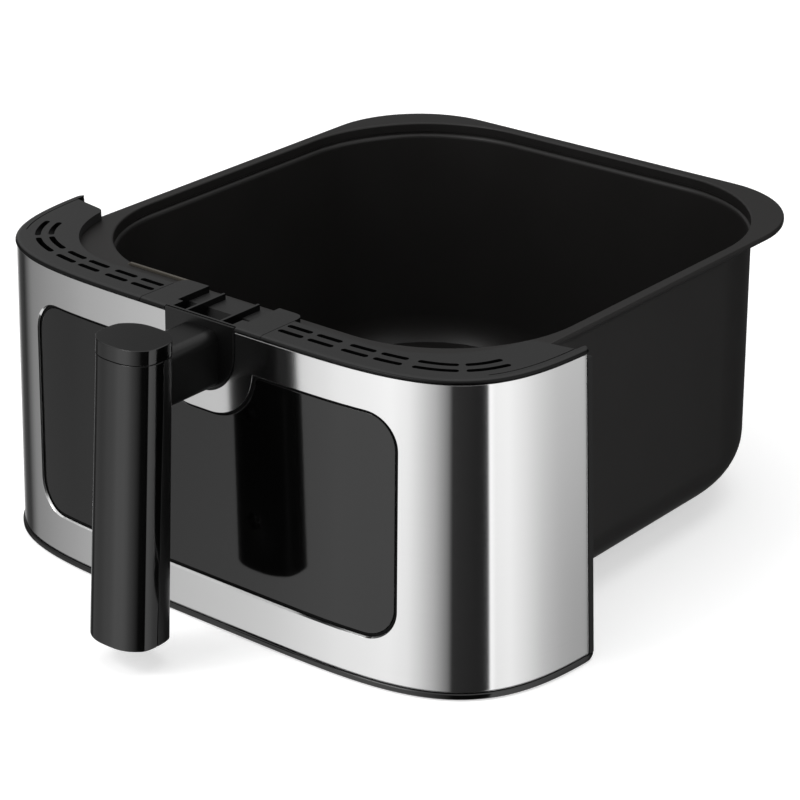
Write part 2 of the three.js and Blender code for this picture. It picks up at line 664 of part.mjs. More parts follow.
function makeBacking() {
  const wall = panelWall(BACKING_FACE, BACKING_INNER, STEEL_BOTTOM, BACKING_TOP, PANEL_END);
  const lap = BACKING_INNER - BACKING_LEDGE_LAP;
  const floorBack = BACKING_FLOOR_FACE + BACKING_FLOOR;
  const ledge = panelWall(lap, floorBack, STEEL_BOTTOM, BACKING_TOP, PANEL_STEEL_END)
    .intersect(windowPrism(-BACKING_LEDGE));
  const pocket = panelWall(-CUT_MARGIN, BACKING_FLOOR_FACE, STEEL_BOTTOM, BACKING_TOP, PANEL_STEEL_END)
    .intersect(windowPrism(0));
  const near = thetaAtDepth(PANEL_STEEL_END + FIT);
  const far = thetaAtDepth(PANEL_END);
  const bead = wallSection(-END_RETURN_PROUD, BACKING_INNER, STEEL_BOTTOM, BACKING_TOP);
  const beads = [
    sweepPanel(bead, far, near, 2),
    sweepPanel(bead, Math.PI - near, Math.PI - far, 2),
  ];
  const bosses = panelScrewPlaces().map(([x, z]) => (
    rodY(x, z, BOSS_RADIUS, FRONT_Y + lap - leanAt(z + BOSS_RADIUS), BOSS_END_Y)
  ));
  const tabTop = TRIM_BOTTOM - TRIM_TAB_DROP;
  const tabSection = wallSection(lap, BACKING_INNER + TRIM_TAB_REACH, tabTop - TRIM_TAB_THICKNESS, tabTop);
  const tabStart = thetaAtDepth(TRIM_SCREW_DEPTH + TRIM_TAB_HALF);
  const tabEnd = thetaAtDepth(TRIM_SCREW_DEPTH - TRIM_TAB_HALF);
  const tabs = [
    sweepPanel(tabSection, tabStart, tabEnd, 2),
    sweepPanel(tabSection, Math.PI - tabEnd, Math.PI - tabStart, 2),
  ];
  const blindY = WEB_BACK_Y + FIT - PANEL_SCREW_LENGTH - BLIND_MARGIN;
  const holes = panelScrewPlaces().map(([x, z]) => rodY(x, z, HOLE_RADIUS, blindY, WEB_BACK_Y));
  const [screwX, screwY] = trimScrewPlace();
  const tabLow = tabTop - TRIM_TAB_THICKNESS - CUT_MARGIN;
  for (const side of [-1, 1]) {
    holes.push(rodZ(side * screwX, screwY, HOLE_RADIUS, tabLow, TRIM_BOTTOM));
  }
  return cutAll(union([wall, ledge, ...beads, ...bosses, ...tabs]), [pocket, notchPrism(0), ...holes]);
}

function makeBottomTrim() {
  const start = thetaAtDepth(PANEL_END);
  const railFace = BACKING_INNER + FIT;
  const section = [
    [-BOTTOM_TRIM_PROUD + BOTTOM_TRIM_EDGE, 0],
    [BOTTOM_TRIM_WIDTH, 0],
    [BOTTOM_TRIM_WIDTH, BOTTOM_TRIM_TOP],
    [railFace + BOTTOM_RAIL_THICKNESS, BOTTOM_TRIM_TOP],
    [railFace + BOTTOM_RAIL_THICKNESS, BOTTOM_TRIM_TOP + BOTTOM_RAIL_HEIGHT],
    [railFace, BOTTOM_TRIM_TOP + BOTTOM_RAIL_HEIGHT],
    [railFace, BOTTOM_TRIM_TOP],
    [-BOTTOM_TRIM_PROUD + BOTTOM_TRIM_EDGE, BOTTOM_TRIM_TOP],
    [-BOTTOM_TRIM_PROUD, BOTTOM_TRIM_TOP - BOTTOM_TRIM_EDGE],
    [-BOTTOM_TRIM_PROUD, BOTTOM_TRIM_EDGE],
  ];
  return sweepPanel(section, start, Math.PI - start, PANEL_STEPS);
}

// ================================================================ top trims
// The heights and outer insets of the trims' shared edge: a foot inside the steel, a lip over it,
// and a rounded top edge.
function trimLevels() {
  const rise = TRIM_TOP - TRIM_LIP;
  const levels = [[TRIM_BOTTOM, BACKING_FACE], [TRIM_LIP, BACKING_FACE], [TRIM_LIP, -TRIM_PROUD]];
  const steps = 4;
  for (let i = 1; i <= steps; i += 1) {
    const angle = (Math.PI / 2) * (i / steps);
    const sweep = TRIM_EDGE_SWEEP * (1 - Math.cos(angle));
    levels.push([TRIM_LIP + rise * Math.sin(angle), sweep - TRIM_PROUD]);
  }
  return levels;
}

// Points along a quadratic bend from a to b round the corner c.
function bend(a, c, b) {
  const points = [];
  for (let i = 0; i <= EDGE_STEPS; i += 1) {
    const t = i / EDGE_STEPS;
    points.push([0, 1].map((k) => (1 - t) ** 2 * a[k] + 2 * t * (1 - t) * c[k] + t ** 2 * b[k]));
  }
  return points;
}

// A point part of the way from a to b, given as a distance.
function towards(a, b, distance) {
  const span = Math.hypot(b[0] - a[0], b[1] - a[1]);
  return [0, 1].map((k) => a[k] + (b[k] - a[k]) * (distance / span));
}

// The right trim's outline: the panel's curve outside, the wing's end, and the edge beside the pan.
function trimOutline(inset) {
  const seamX = SEAM_HALF_WIDTH + FIT / 2;
  const from = thetaAtSide(seamX);
  const to = thetaAtDepth(TRIM_END - TRIM_END_ROUND);
  const steps = PANEL_STEPS / 2;
  const outer = [];
  for (let i = 0; i < steps; i += 1) {
    outer.push(planInset(from + (to - from) * (i / steps), inset));
  }
  const middle = [TRIM_INNER_SIDE - TRIM_INNER_RADIUS, FRONT_Y + TRIM_INNER_FRONT + TRIM_INNER_RADIUS];
  const onInner = (y) => {
    const sine = Math.min(1, Math.max(-1, (y - middle[1]) / TRIM_INNER_RADIUS));
    return Math.asin(sine);
  };
  const innerPoint = (angle) => [
    middle[0] + TRIM_INNER_RADIUS * Math.cos(angle),
    middle[1] + TRIM_INNER_RADIUS * Math.sin(angle),
  ];
  const outerEnd = planInset(thetaAtDepth(TRIM_END), inset);
  const innerEndY = FRONT_Y + TRIM_END - TRIM_END_SLANT;
  const innerEnd = innerPoint(onInner(innerEndY));
  const turn = onInner(innerEndY - TRIM_END_ROUND);
  const outerBend = bend(planInset(to, inset), outerEnd, towards(outerEnd, innerEnd, TRIM_END_ROUND));
  const innerBend = bend(towards(innerEnd, outerEnd, TRIM_END_ROUND), innerEnd, innerPoint(turn));
  const inner = [];
  for (let i = 1; i <= CORNER_STEPS; i += 1) {
    inner.push(innerPoint(turn + (-Math.PI / 2 - turn) * (i / CORNER_STEPS)));
  }
  return [...outer, ...outerBend, ...innerBend, ...inner, [seamX, FRONT_Y + TRIM_INNER_FRONT]];
}

// A slot along the panel's curve on the right, between two angles, with round ends.
function slotOutline(from, to, inset, width) {
  const half = width / 2;
  const side = (offset) => {
    const points = [];
    for (let i = 0; i <= SLOT_STEPS; i += 1) {
      points.push(planInset(from + (to - from) * (i / SLOT_STEPS), inset + offset));
    }
    return points;
  };
  const end = (theta, way) => {
    const { normal } = planAt(theta);
    const [x, y] = planInset(theta, inset);
    const points = [];
    for (let i = 1; i < EDGE_STEPS; i += 1) {
      const angle = Math.PI * (i / EDGE_STEPS);
      const across = way * half * Math.cos(angle);
      const ahead = way * half * Math.sin(angle);
      points.push([x + normal.x * across - normal.y * ahead, y + normal.y * across + normal.x * ahead]);
    }
    return points;
  };
  return [...side(-half), ...end(to, 1), ...side(half).reverse(), ...end(from, -1)];
}

// The slots as runs along the outer row, from the seam to the corner.
function ventRuns() {
  const plan = [
    [SEAM_HALF_WIDTH + VENT_SEAM_GAP, VENT_LENGTH], [VENT_PAIR_GAP, VENT_LENGTH],
    [VENT_GROUP_GAP, VENT_LENGTH], [VENT_PAIR_GAP, VENT_LENGTH],
    [VENT_GROUP_GAP, VENT_CORNER_LENGTH], [VENT_CORNER_GAP, VENT_CORNER_LENGTH],
  ];
  let run = 0;
  return plan.map(([gap, length]) => {
    const start = run + gap;
    run = start + length;
    return [start + VENT_WIDTH / 2, run - VENT_WIDTH / 2];
  });
}

function trimScrewPlace() {
  return planInset(thetaAtDepth(TRIM_SCREW_DEPTH), TRIM_SCREW_INSET);
}

// A tongue that springs against the back of the panel's backing.
function clipAt(place) {
  const face = BACKING_INNER + FIT;
  const section = wallSection(face, face + CLIP_THICKNESS, TRIM_BOTTOM - CLIP_DROP, TRIM_BOTTOM + FIT);
  return sweepPanel(section, thetaAtSide(place + CLIP_HALF_WIDTH), thetaAtSide(place - CLIP_HALF_WIDTH), 2);
}

function makeVentTrim(side) {
  const body = loft(trimLevels().map(([z, inset]) => ({ z, outline: trimOutline(inset) })));
  const cuts = [];
  for (const [start, stop] of ventRuns()) {
    const from = thetaAtRun(start, VENT_OUTER_ROW);
    const to = thetaAtRun(stop, VENT_OUTER_ROW);
    for (const row of [VENT_OUTER_ROW, VENT_INNER_ROW]) {
      const outline = slotOutline(from, to, row, VENT_WIDTH);
      cuts.push(loft([TRIM_BOTTOM - CUT_MARGIN, TRIM_TOP + CUT_MARGIN].map((z) => ({ z, outline }))));
    }
  }
  const grooveEnds = [thetaAtDepth(GROOVE_START), thetaAtDepth(PANEL_END)];
  const groove = slotOutline(...grooveEnds, GROOVE_INSET, GROOVE_WIDTH);
  cuts.push(loft([TRIM_TOP - GROOVE_DEPTH, TRIM_TOP + CUT_MARGIN].map((z) => ({ z, outline: groove }))));
  const place = trimScrewPlace();
  const boss = rodZ(...place, BOSS_RADIUS, TRIM_BOTTOM - TRIM_TAB_DROP + FIT, TRIM_BOTTOM + FIT);
  const tip = TRIM_BOTTOM - TRIM_TAB_DROP + TRIM_SCREW_BITE + BLIND_MARGIN;
  const hole = rodZ(...place, HOLE_RADIUS, TRIM_BOTTOM - TRIM_TAB_DROP - CUT_MARGIN, tip);
  const trim = cutAll(union([cutAll(body, cuts), boss, clipAt(CLIP_PLACE)]), [hole]);
  return side < 0 ? trim.mirror([1, 0, 0]) : trim;
}

// ================================================================ centre cover
const RECESS_FRONT_Y = TUB_FRONT_Y + RECESS_WALL;
const RECESS_STEP_Y = RECESS_FRONT_Y + RECESS_FLAT;
const SLOPE_END_Y = FRONT_Y + PANEL_TO_PAN - RIM_FRONT - TUB_WALL;

// The recess's side view, as [y, z]: a deep floor, a slope, and a thin floor over the pan's rim.
function recessProfile(frontY, backY, top, lower) {
  return [
    [frontY, top], [frontY, RECESS_Z - lower], [RECESS_STEP_Y, RECESS_Z - lower],
    [SLOPE_END_Y, TRIM_BOTTOM + RECESS_FLOOR - lower], [backY, TRIM_BOTTOM + RECESS_FLOOR - lower],
    [backY, top],
  ];
}

function tubProfile(frontY) {
  return [
    [frontY, TRIM_BOTTOM + FIT], [frontY, TUB_BOTTOM], [RECESS_STEP_Y, TUB_BOTTOM],
    [SLOPE_END_Y, TRIM_BOTTOM - FIT], [SLOPE_END_Y, TRIM_BOTTOM + FIT],
  ];
}

function makeCentreCover() {
  const backY = FRONT_Y + COVER_BACK;
  const half = SEAM_HALF_WIDTH - FIT / 2;
  const from = thetaAtSide(half);
  const outline = (inset) => {
    const front = [];
    for (let i = 0; i <= EDGE_STEPS; i += 1) {
      front.push(planInset(Math.PI - from + (2 * from - Math.PI) * (i / EDGE_STEPS), inset));
    }
    return [
      ...front,
      ...bend([half, backY - COVER_CORNER], [half, backY], [half - COVER_CORNER, backY]),
      ...bend([-half + COVER_CORNER, backY], [-half, backY], [-half, backY - COVER_CORNER]),
    ];
  };
  const plate = loft(trimLevels().map(([z, inset]) => ({ z, outline: outline(inset) })));
  const tubHalf = RECESS_HALF_WIDTH + TUB_WALL;
  const rearHalf = RECESS_REAR_HALF_WIDTH + TUB_WALL;
  const tub = prismX(tubProfile(TUB_FRONT_Y), -tubHalf, tubHalf);
  const rearTub = prismX(tubProfile(RECESS_STEP_Y - TUB_WALL), -rearHalf, rearHalf);
  const past = backY + CUT_MARGIN;
  const high = TRIM_TOP + CUT_MARGIN;
  const front = prismX(recessProfile(RECESS_FRONT_Y, past, high, 0), -RECESS_HALF_WIDTH, RECESS_HALF_WIDTH);
  const rearShape = recessProfile(RECESS_FRONT_Y, past, high, 0);
  const rear = prismX(rearShape, -RECESS_REAR_HALF_WIDTH, RECESS_REAR_HALF_WIDTH)
    .intersect(box([-rearHalf, RECESS_STEP_Y, TUB_BOTTOM], [rearHalf, past, high]));
  const blockHalf = NOTCH_RADIUS;
  const blockCut = box([-blockHalf, TOOL_FRONT_Y, TUB_BOTTOM], [blockHalf, TUB_FRONT_Y, high]);
  const ribTop = TRIM_TOP - RIB_BELOW_TOP;
  const ribShape = recessProfile(
    TUB_FRONT_Y + RECESS_WALL / 2, backY - RIB_BACK_MARGIN, ribTop, RECESS_FLOOR / 2,
  );
  const ribs = [-1, 1].map((side) => {
    const x = side * RIB_OFFSET;
    return prismX(ribShape, x - RIB_THICKNESS / 2, x + RIB_THICKNESS / 2);
  });
  const clip = clipAt(COVER_CLIP_PLACE);
  const shell = cutAll(union([plate, tub, rearTub]), [front, rear, blockCut]);
  return union([shell, ...ribs, clip, clip.mirror([1, 0, 0])]);
}

// ================================================================ handle
// The height's place along the grip's leaning axis.
function gripAxisY(z) {
  return FRONT_Y - GRIP_REACH - GRIP_LEAN * ((GRIP_TOP - z) / (GRIP_TOP - GRIP_BOTTOM));
}

// The grip's section: four shallow arcs that meet in rounded corners.
function gripOutline(z, inset) {
  const flare = GRIP_FLARE * ((GRIP_TOP - z) / (GRIP_TOP - GRIP_BOTTOM));
  const half = [GRIP_HALF_WIDTH + flare - inset, GRIP_HALF_DEPTH + flare - inset];
  const corner = [half[0] - GRIP_SIDE_BULGE, half[1] - GRIP_FACE_BULGE];
  const points = [];
  for (const [way, face] of [[1, 0], [1, 1], [-1, 0], [-1, 1]]) {
    for (let i = 0; i <= GRIP_FACE_STEPS; i += 1) {
      const t = GRIP_CORNER + (1 - 2 * GRIP_CORNER) * (i / GRIP_FACE_STEPS);
      const along = (2 * t - 1) * way;
      const bulge = 1 - (2 * t - 1) ** 2;
      if (face === 0) {
        points.push([along * corner[0], -way * (corner[1] + GRIP_FACE_BULGE * bulge)]);
      } else {
        points.push([way * (corner[0] + GRIP_SIDE_BULGE * bulge), along * corner[1]]);
      }
    }
  }
  return points.map(([x, y]) => [x, y + gripAxisY(z)]);
}

function gripSolid(levels) {
  return loft(levels.map(([z, inset]) => ({ z, outline: gripOutline(z, inset) })));
}

// Everything on one side of the grip's leaning parting plane, with half the joint's gap.
function gripHalf(side) {
  const low = GRIP_BOTTOM - CUT_MARGIN;
  const high = GRIP_TOP + CUT_MARGIN;
  const plane = (z) => gripAxisY(z) + GRIP_SPLIT + side * FIT / 2;
  const far = FRONT_Y - GRIP_REACH + side * (GRIP_REACH + GRIP_LEAN + GRIP_HALF_DEPTH);
  const reach = GRIP_HALF_WIDTH * 2;
  return prismX([[plane(low), low], [far, low], [far, high], [plane(high), high]], -reach, reach);
}

function gripBody() {
  return gripSolid([
    [GRIP_BOTTOM, GRIP_END_ROUND], [GRIP_BOTTOM + GRIP_END_ROUND / 3, GRIP_END_ROUND / 3],
    [GRIP_BOTTOM + GRIP_END_ROUND, 0], [GRIP_SEAM, 0],
  ]);
}

function gripHollow() {
  return gripSolid([[GRIP_BOTTOM + GRIP_WALL, GRIP_WALL], [GRIP_SEAM + CUT_MARGIN, GRIP_WALL]]);
}

const GRIP_SCREWS = [GRIP_BOTTOM + GRIP_SCREW_MARGIN, ARM_BOTTOM - GRIP_SCREW_MARGIN];
const POCKET_RADIUS = SCREW_HEAD_RADIUS + FIT;

function makeGripFront() {
  const body = gripBody();
  const bosses = GRIP_SCREWS.map((z) => (
    rodY(0, z, BOSS_RADIUS, TOOL_FRONT_Y - GRIP_REACH, gripAxisY(z) + GRIP_SPLIT + FIT).intersect(body)
  ));
  const whole = union([body.subtract(gripHollow()), ...bosses]).intersect(gripHalf(-1));
  const holes = GRIP_SCREWS.map((z) => {
    const plane = gripAxisY(z) + GRIP_SPLIT;
    return rodY(0, z, HOLE_RADIUS, plane - GRIP_SCREW_BITE - BLIND_MARGIN, plane + CUT_MARGIN);
  });
  return cutAll(whole, holes);
}

function makeGripCap() {
  const body = gripSolid([
    [GRIP_SEAM + FIT, CAP_INSET], [GRIP_TOP - CAP_EDGE, CAP_INSET],
    [GRIP_TOP - CAP_EDGE / 3, CAP_INSET + CAP_EDGE / 3], [GRIP_TOP, CAP_INSET + CAP_EDGE],
  ]);
  const inset = GRIP_WALL + FIT;
  const plug = gripSolid([[GRIP_SEAM - PLUG_HEIGHT, inset], [GRIP_SEAM + GRIP_WALL, inset]]);
  const hollow = inset + PLUG_WALL;
  const cavityLow = GRIP_SEAM - PLUG_HEIGHT - CUT_MARGIN;
  const cavity = gripSolid([[cavityLow, hollow], [GRIP_TOP - GRIP_WALL, hollow]]);
  return body.add(plug).subtract(cavity);
}

// The arm's outline seen from the front: square below, well rounded above.
function armShape() {
  const shape = new THREE.Shape();
  const half = ARM_HALF_WIDTH;
  const low = ARM_LOW_RADIUS;
  shape.absarc(half - low, ARM_BOTTOM + low, low, -Math.PI / 2, 0, false);
  shape.absarc(half - ARM_RADIUS, ARM_TOP - ARM_RADIUS, ARM_RADIUS, 0, Math.PI / 2, false);
  shape.absarc(-half + ARM_RADIUS, ARM_TOP - ARM_RADIUS, ARM_RADIUS, Math.PI / 2, Math.PI, false);
  shape.absarc(-half + low, ARM_BOTTOM + low, low, Math.PI, Math.PI * 1.5, false);
  return shape;
}

// Block, arm and the grip's rear shell are one moulding.
function makeHandleArm() {
  const body = gripBody();
  const shell = body.subtract(gripHollow());
  const bosses = GRIP_SCREWS.map((z) => (
    rodY(0, z, POCKET_RADIUS + TUB_WALL, gripAxisY(z) + GRIP_SPLIT - FIT, FRONT_Y).intersect(body)
  ));
  const rear = union([shell, ...bosses]).intersect(gripHalf(1));
  const armFrontY = gripAxisY(ARM_TOP) + GRIP_HALF_DEPTH - ARM_GRIP_LAP;
  const arm = prismY(armShape(), armFrontY, FRONT_Y + BLOCK_LIP);
  const blockTop = TRIM_TOP - BLOCK_BELOW_TRIM;
  const blockLow = NOTCH_Z - NOTCH_RADIUS;
  const slab = panelWall(-BLOCK_PROUD, WEB_BEHIND + PANEL_LEAN, blockLow, blockTop, PANEL_STEEL_END);
  const deep = box(
    [-NOTCH_RADIUS, TOOL_FRONT_Y, blockLow],
    [NOTCH_RADIUS, WEB_FRONT_Y - FIT, blockTop],
  );
  const overBlock = box(
    [-NOTCH_RADIUS, TUB_FRONT_Y - FIT, TUB_BOTTOM - FIT],
    [NOTCH_RADIUS, TOOL_BACK_Y, TRIM_TOP + CUT_MARGIN],
  );
  const block = notchPrism(BLOCK_GAP).intersect(slab).intersect(deep).subtract(overBlock);
  const plugLow = GRIP_SEAM - PLUG_HEIGHT - FIT;
  const plugSpace = gripSolid([[plugLow, GRIP_WALL], [GRIP_SEAM + CUT_MARGIN, GRIP_WALL]]);
  const cuts = [plugSpace];
  for (const z of GRIP_SCREWS) {
    const bearing = gripAxisY(z) + GRIP_HALF_DEPTH - GRIP_POCKET;
    cuts.push(rodY(0, z, HOLE_RADIUS, gripAxisY(z), FRONT_Y - GRIP_HALF_DEPTH));
    cuts.push(rodY(0, z, POCKET_RADIUS, bearing, FRONT_Y - GRIP_HALF_DEPTH));
  }
  const tipY = WEB_BACK_Y + FIT - HANDLE_SCREW_LENGTH - BLIND_MARGIN;
  for (const [x, z] of handleScrewPlaces()) {
    cuts.push(rodY(x, z, HOLE_RADIUS, tipY, WEB_BACK_Y));
  }
  return cutAll(union([rear, arm, block]), cuts);
}

// ================================================================ bracket
function makeBracket() {
  const half = BRACKET_HALF_WIDTH;
  const sheet = BRACKET_SHEET;
  const wallY = -PAN_OPENING_LENGTH / 2 + PAN_STEP_WIDTH - PAN_WALL - FIT;
  const part = (x0, y0, x1, y1) => box([x0, y0, BRACKET_BOTTOM], [x1, y1, BRACKET_TOP]);
  const pieces = [part(-half, WEB_FRONT_Y, half, WEB_BACK_Y)];
  for (const side of [-1, 1]) {
    const inner = side * (half - sheet);
    const outer = side * half;
    const tip = side * (half + BRACKET_FOOT);
    pieces.push(part(Math.min(inner, outer), WEB_FRONT_Y, Math.max(inner, outer), wallY));
    pieces.push(part(Math.min(inner, tip), wallY - sheet, Math.max(inner, tip), wallY));
  }
  const through = [WEB_FRONT_Y - CUT_MARGIN, WEB_BACK_Y + CUT_MARGIN];
  const places = [...panelScrewPlaces(), ...handleScrewPlaces()];
  return cutAll(union(pieces), places.map(([x, z]) => rodY(x, z, HOLE_RADIUS, ...through)));
}

function handleScrewPlaces() {
  return [-1, 1].map((side) => [side * HANDLE_SCREW_X, ARM_BOTTOM + HANDLE_SCREW_RISE]);
}

// ================================================================ screws
// A screw along Y with its head's underside at the origin and its tip towards -Y.
function screwSolid(length) {
  const profile = [
    [0, -length], [SCREW_RADIUS / 2, -length], [SCREW_RADIUS, -length + SCREW_RADIUS / 2],
    [SCREW_RADIUS, 0], [SCREW_HEAD_RADIUS, 0], [SCREW_HEAD_RADIUS, SCREW_HEAD_HEIGHT / 2],
    [SCREW_HEAD_RADIUS / 2, SCREW_HEAD_HEIGHT], [SCREW_DRIVE_RADIUS, SCREW_HEAD_HEIGHT],
    [SCREW_DRIVE_RADIUS / 2, SCREW_HEAD_HEIGHT - SCREW_DRIVE_DEPTH],
    [0, SCREW_HEAD_HEIGHT - SCREW_DRIVE_DEPTH],
  ];
  return solidOf(new THREE.LatheGeometry(profile.map((p) => new THREE.Vector2(...p)), ROUND_STEPS));
}

// ================================================================ the part
function meshOf(name, solid) {
  const { vertProperties, triVerts, numProp } = solid.getMesh();
  const place = [];
  for (let i = 0; i < vertProperties.length; i += numProp) {
    place.push(vertProperties[i], vertProperties[i + 1], vertProperties[i + 2]);
  }
  const geometry = new THREE.BufferGeometry();
  geometry.setAttribute("position", new THREE.Float32BufferAttribute(place, 3));
  geometry.setIndex(Array.from(triVerts));
  geometry.computeVertexNormals();
  const mesh = new THREE.Mesh(geometry);
  mesh.name = name;
  return mesh;
}

const drawer = new THREE.Group();
drawer.name = "air_fryer_drawer";

function place(name, solid) {
  drawer.add(meshOf(name, solid));
}

place("pan", makePan());
place("crisper_plate", makePlate());
place("bumper_right", makeBumper(PAN_OPENING_WIDTH / 2, 0));
place("bumper_back", makeBumper(PAN_OPENING_LENGTH / 2, 90));
place("bumper_left", makeBumper(PAN_OPENING_WIDTH / 2, 180));
place("bumper_front", makeBumper(PAN_OPENING_LENGTH / 2, 270));
place("pan_bracket", makeBracket());
place("panel_backing", makeBacking());
place("steel_skin", makeSteelSkin());
place("window_insert", makeWindowInsert());
place("window_gasket", makeGasket());
place("bottom_trim", makeBottomTrim());
place("vent_trim_left", makeVentTrim(-1));
place("vent_trim_right", makeVentTrim(1));
place("centre_cover", makeCentreCover());
place("handle_arm", makeHandleArm());
place("grip_front", makeGripFront());
place("grip_cap", makeGripCap());

const panelScrew = screwSolid(PANEL_SCREW_LENGTH);
panelScrewPlaces().forEach(([x, z], i) => {
  place(`panel_screw_${i + 1}`, panelScrew.translate([x, WEB_BACK_Y + FIT, z]));
});

const handleScrew = screwSolid(HANDLE_SCREW_LENGTH);
handleScrewPlaces().forEach(([x, z], i) => {
  place(`handle_screw_${i + 1}`, handleScrew.translate([x, WEB_BACK_Y + FIT, z]));
});

const gripScrew = screwSolid(GRIP_HALF_DEPTH - GRIP_POCKET - GRIP_SPLIT + GRIP_SCREW_BITE);
GRIP_SCREWS.forEach((z, i) => {
  const bearing = gripAxisY(z) + GRIP_HALF_DEPTH - GRIP_POCKET;
  place(`grip_screw_${i + 1}`, gripScrew.translate([0, bearing + FIT, z]));
});

const tabUnderside = TRIM_BOTTOM - TRIM_TAB_DROP - TRIM_TAB_THICKNESS;
const trimScrew = screwSolid(TRIM_TAB_THICKNESS + TRIM_SCREW_BITE).rotate([-90, 0, 0]);
[["left", -1], ["right", 1]].forEach(([name, side]) => {
  const [x, y] = trimScrewPlace();
  place(`trim_screw_${name}`, trimScrew.translate([side * x, y, tabUnderside - FIT]));
});

export default drawer;
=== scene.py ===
# %% [markdown]
# # The pull-out drawer of an air fryer
# A square coated pan hangs behind a brushed steel front. The front carries a gloss black window, a row of
# vents along its top and an upright grip on an arm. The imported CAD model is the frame: it gives every size
# and place. Here each visible piece is modelled again more finely, or gets the finish of its real material.

# %% Load the frame
import bisect
import math

import bpy
from mathutils import Matrix, Vector


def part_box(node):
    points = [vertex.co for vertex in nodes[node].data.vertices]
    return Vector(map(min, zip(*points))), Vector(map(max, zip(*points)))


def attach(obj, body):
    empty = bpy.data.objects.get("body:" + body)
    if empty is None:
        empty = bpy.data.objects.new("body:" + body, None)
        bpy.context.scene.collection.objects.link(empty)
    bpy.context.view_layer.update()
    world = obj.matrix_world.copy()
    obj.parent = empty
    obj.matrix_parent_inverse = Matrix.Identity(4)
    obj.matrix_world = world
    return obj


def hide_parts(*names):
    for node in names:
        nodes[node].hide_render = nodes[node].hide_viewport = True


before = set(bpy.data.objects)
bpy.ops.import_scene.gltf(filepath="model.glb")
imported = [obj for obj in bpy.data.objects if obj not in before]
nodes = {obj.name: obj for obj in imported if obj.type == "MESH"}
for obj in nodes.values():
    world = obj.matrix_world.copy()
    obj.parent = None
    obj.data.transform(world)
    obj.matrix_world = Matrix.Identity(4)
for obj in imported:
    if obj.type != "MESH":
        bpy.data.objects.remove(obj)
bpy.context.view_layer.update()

print("CAD nodes:", ", ".join(sorted(nodes)))

# %% [markdown]
# ## Camera
# The camera comes first. It looks down on the drawer from the front right, from about a metre and a
# quarter away, through a long lens, so the panel keeps its shape and its far corner is hardly smaller.

# %% Camera
AZIMUTH = math.radians(39.765)  # round to the right of straight ahead
ELEVATION = math.radians(23.924)
ROLL = math.radians(-0.403)
CAMERA_PLACE = Vector((0.77185, -0.95450, 0.59485))
SENSOR_WIDTH = 36
LENS = 126.78

back = Vector((
    math.sin(AZIMUTH) * math.cos(ELEVATION),
    -math.cos(AZIMUTH) * math.cos(ELEVATION),
    math.sin(ELEVATION),
))
right = Vector((math.cos(AZIMUTH), math.sin(AZIMUTH), 0))
up = back.cross(right)
across = right * math.cos(ROLL) + up * math.sin(ROLL)
upward = up * math.cos(ROLL) - right * math.sin(ROLL)
turn = Matrix((across, upward, back)).transposed().to_4x4()

bpy.ops.object.camera_add()
camera = bpy.context.object
camera.name = "camera"
camera.matrix_world = Matrix.Translation(CAMERA_PLACE) @ turn
camera.data.sensor_width = SENSOR_WIDTH
camera.data.lens = LENS
camera.data.clip_end = 20
bpy.context.scene.camera = camera
print("camera at", [round(value, 4) for value in CAMERA_PLACE])

# %% [markdown]
# ## Tools for modelling by hand
# An operator works on whatever is selected, and the CAD nodes come in selected. These helpers select one
# object, or the faces, edges or points of it that pass a test, and then the usual edit-mode operators
# follow, as they would with a mouse.

# %% Selecting
def only(*objects):
    """Leaves just these objects selected, the first of them active."""
    if bpy.context.mode != "OBJECT":
        bpy.ops.object.mode_set(mode="OBJECT")
    bpy.ops.object.select_all(action="DESELECT")
    for each in objects:
        each.select_set(True)
    bpy.context.view_layer.objects.active = objects[0]


def pick(piece, kind, test):
    """Enters edit mode with just the parts of one kind selected that pass a test."""
    only(piece)
    bpy.ops.object.mode_set(mode="EDIT")
    bpy.ops.mesh.select_mode(type=kind)
    bpy.ops.mesh.select_all(action="DESELECT")
    bpy.ops.object.mode_set(mode="OBJECT")
    mesh = piece.data
    parts = {"VERT": mesh.vertices, "EDGE": mesh.edges, "FACE": mesh.polygons}[kind]
    for part in parts:
        part.select = test(part)
    bpy.ops.object.mode_set(mode="EDIT")


def leave():
    bpy.ops.object.mode_set(mode="OBJECT")


def ends(piece, edge):
    """The two end points of an edge."""
    return [piece.data.vertices[index].co for index in edge.vertices]


def runs_along(piece, edge, axis):
    a, b = ends(piece, edge)
    return all(abs(a[k] - b[k]) < 1e-6 for k in range(3) if k != axis)


def sharp_edges(piece, test, angle=40):
    """Enters edit mode with the sharp edges selected whose two ends pass a test."""
    pick(piece, "EDGE", lambda edge: False)
    bpy.ops.mesh.edges_select_sharp(sharpness=math.radians(angle))
    bpy.ops.object.mode_set(mode="OBJECT")
    for edge in piece.data.edges:
        edge.select = edge.select and all(test(point) for point in ends(piece, edge))
    bpy.ops.object.mode_set(mode="EDIT")


# %% Sizes in millimetres and finished modifiers
def mm(*values):
    """Millimetres as metres: one value, or a tuple of them."""
    scaled = tuple(value / 1000 for value in values)
    return scaled if len(scaled) > 1 else scaled[0]


def apply_modifier(piece, kind, **settings):
    only(piece)
    modifier = piece.modifiers.new(kind.lower(), kind)
    for key, value in settings.items():
        setattr(modifier, key, value)
    bpy.ops.object.modifier_apply(modifier=modifier.name)


def cut(piece, tool):
    apply_modifier(piece, "BOOLEAN", operation="DIFFERENCE", solver="EXACT", object=tool)
    bpy.data.objects.remove(tool)


def merge(piece, within_mm=0.0001):
    """Enters edit mode with every point selected, and merges the points that lie this close together."""
    pick(piece, "VERT", lambda point: True)
    bpy.ops.mesh.remove_doubles(threshold=mm(within_mm))


def outward(piece):
    """Merges doubled points and turns every face outwards."""
    merge(piece)
    bpy.ops.mesh.normals_make_consistent(inside=False)
    leave()


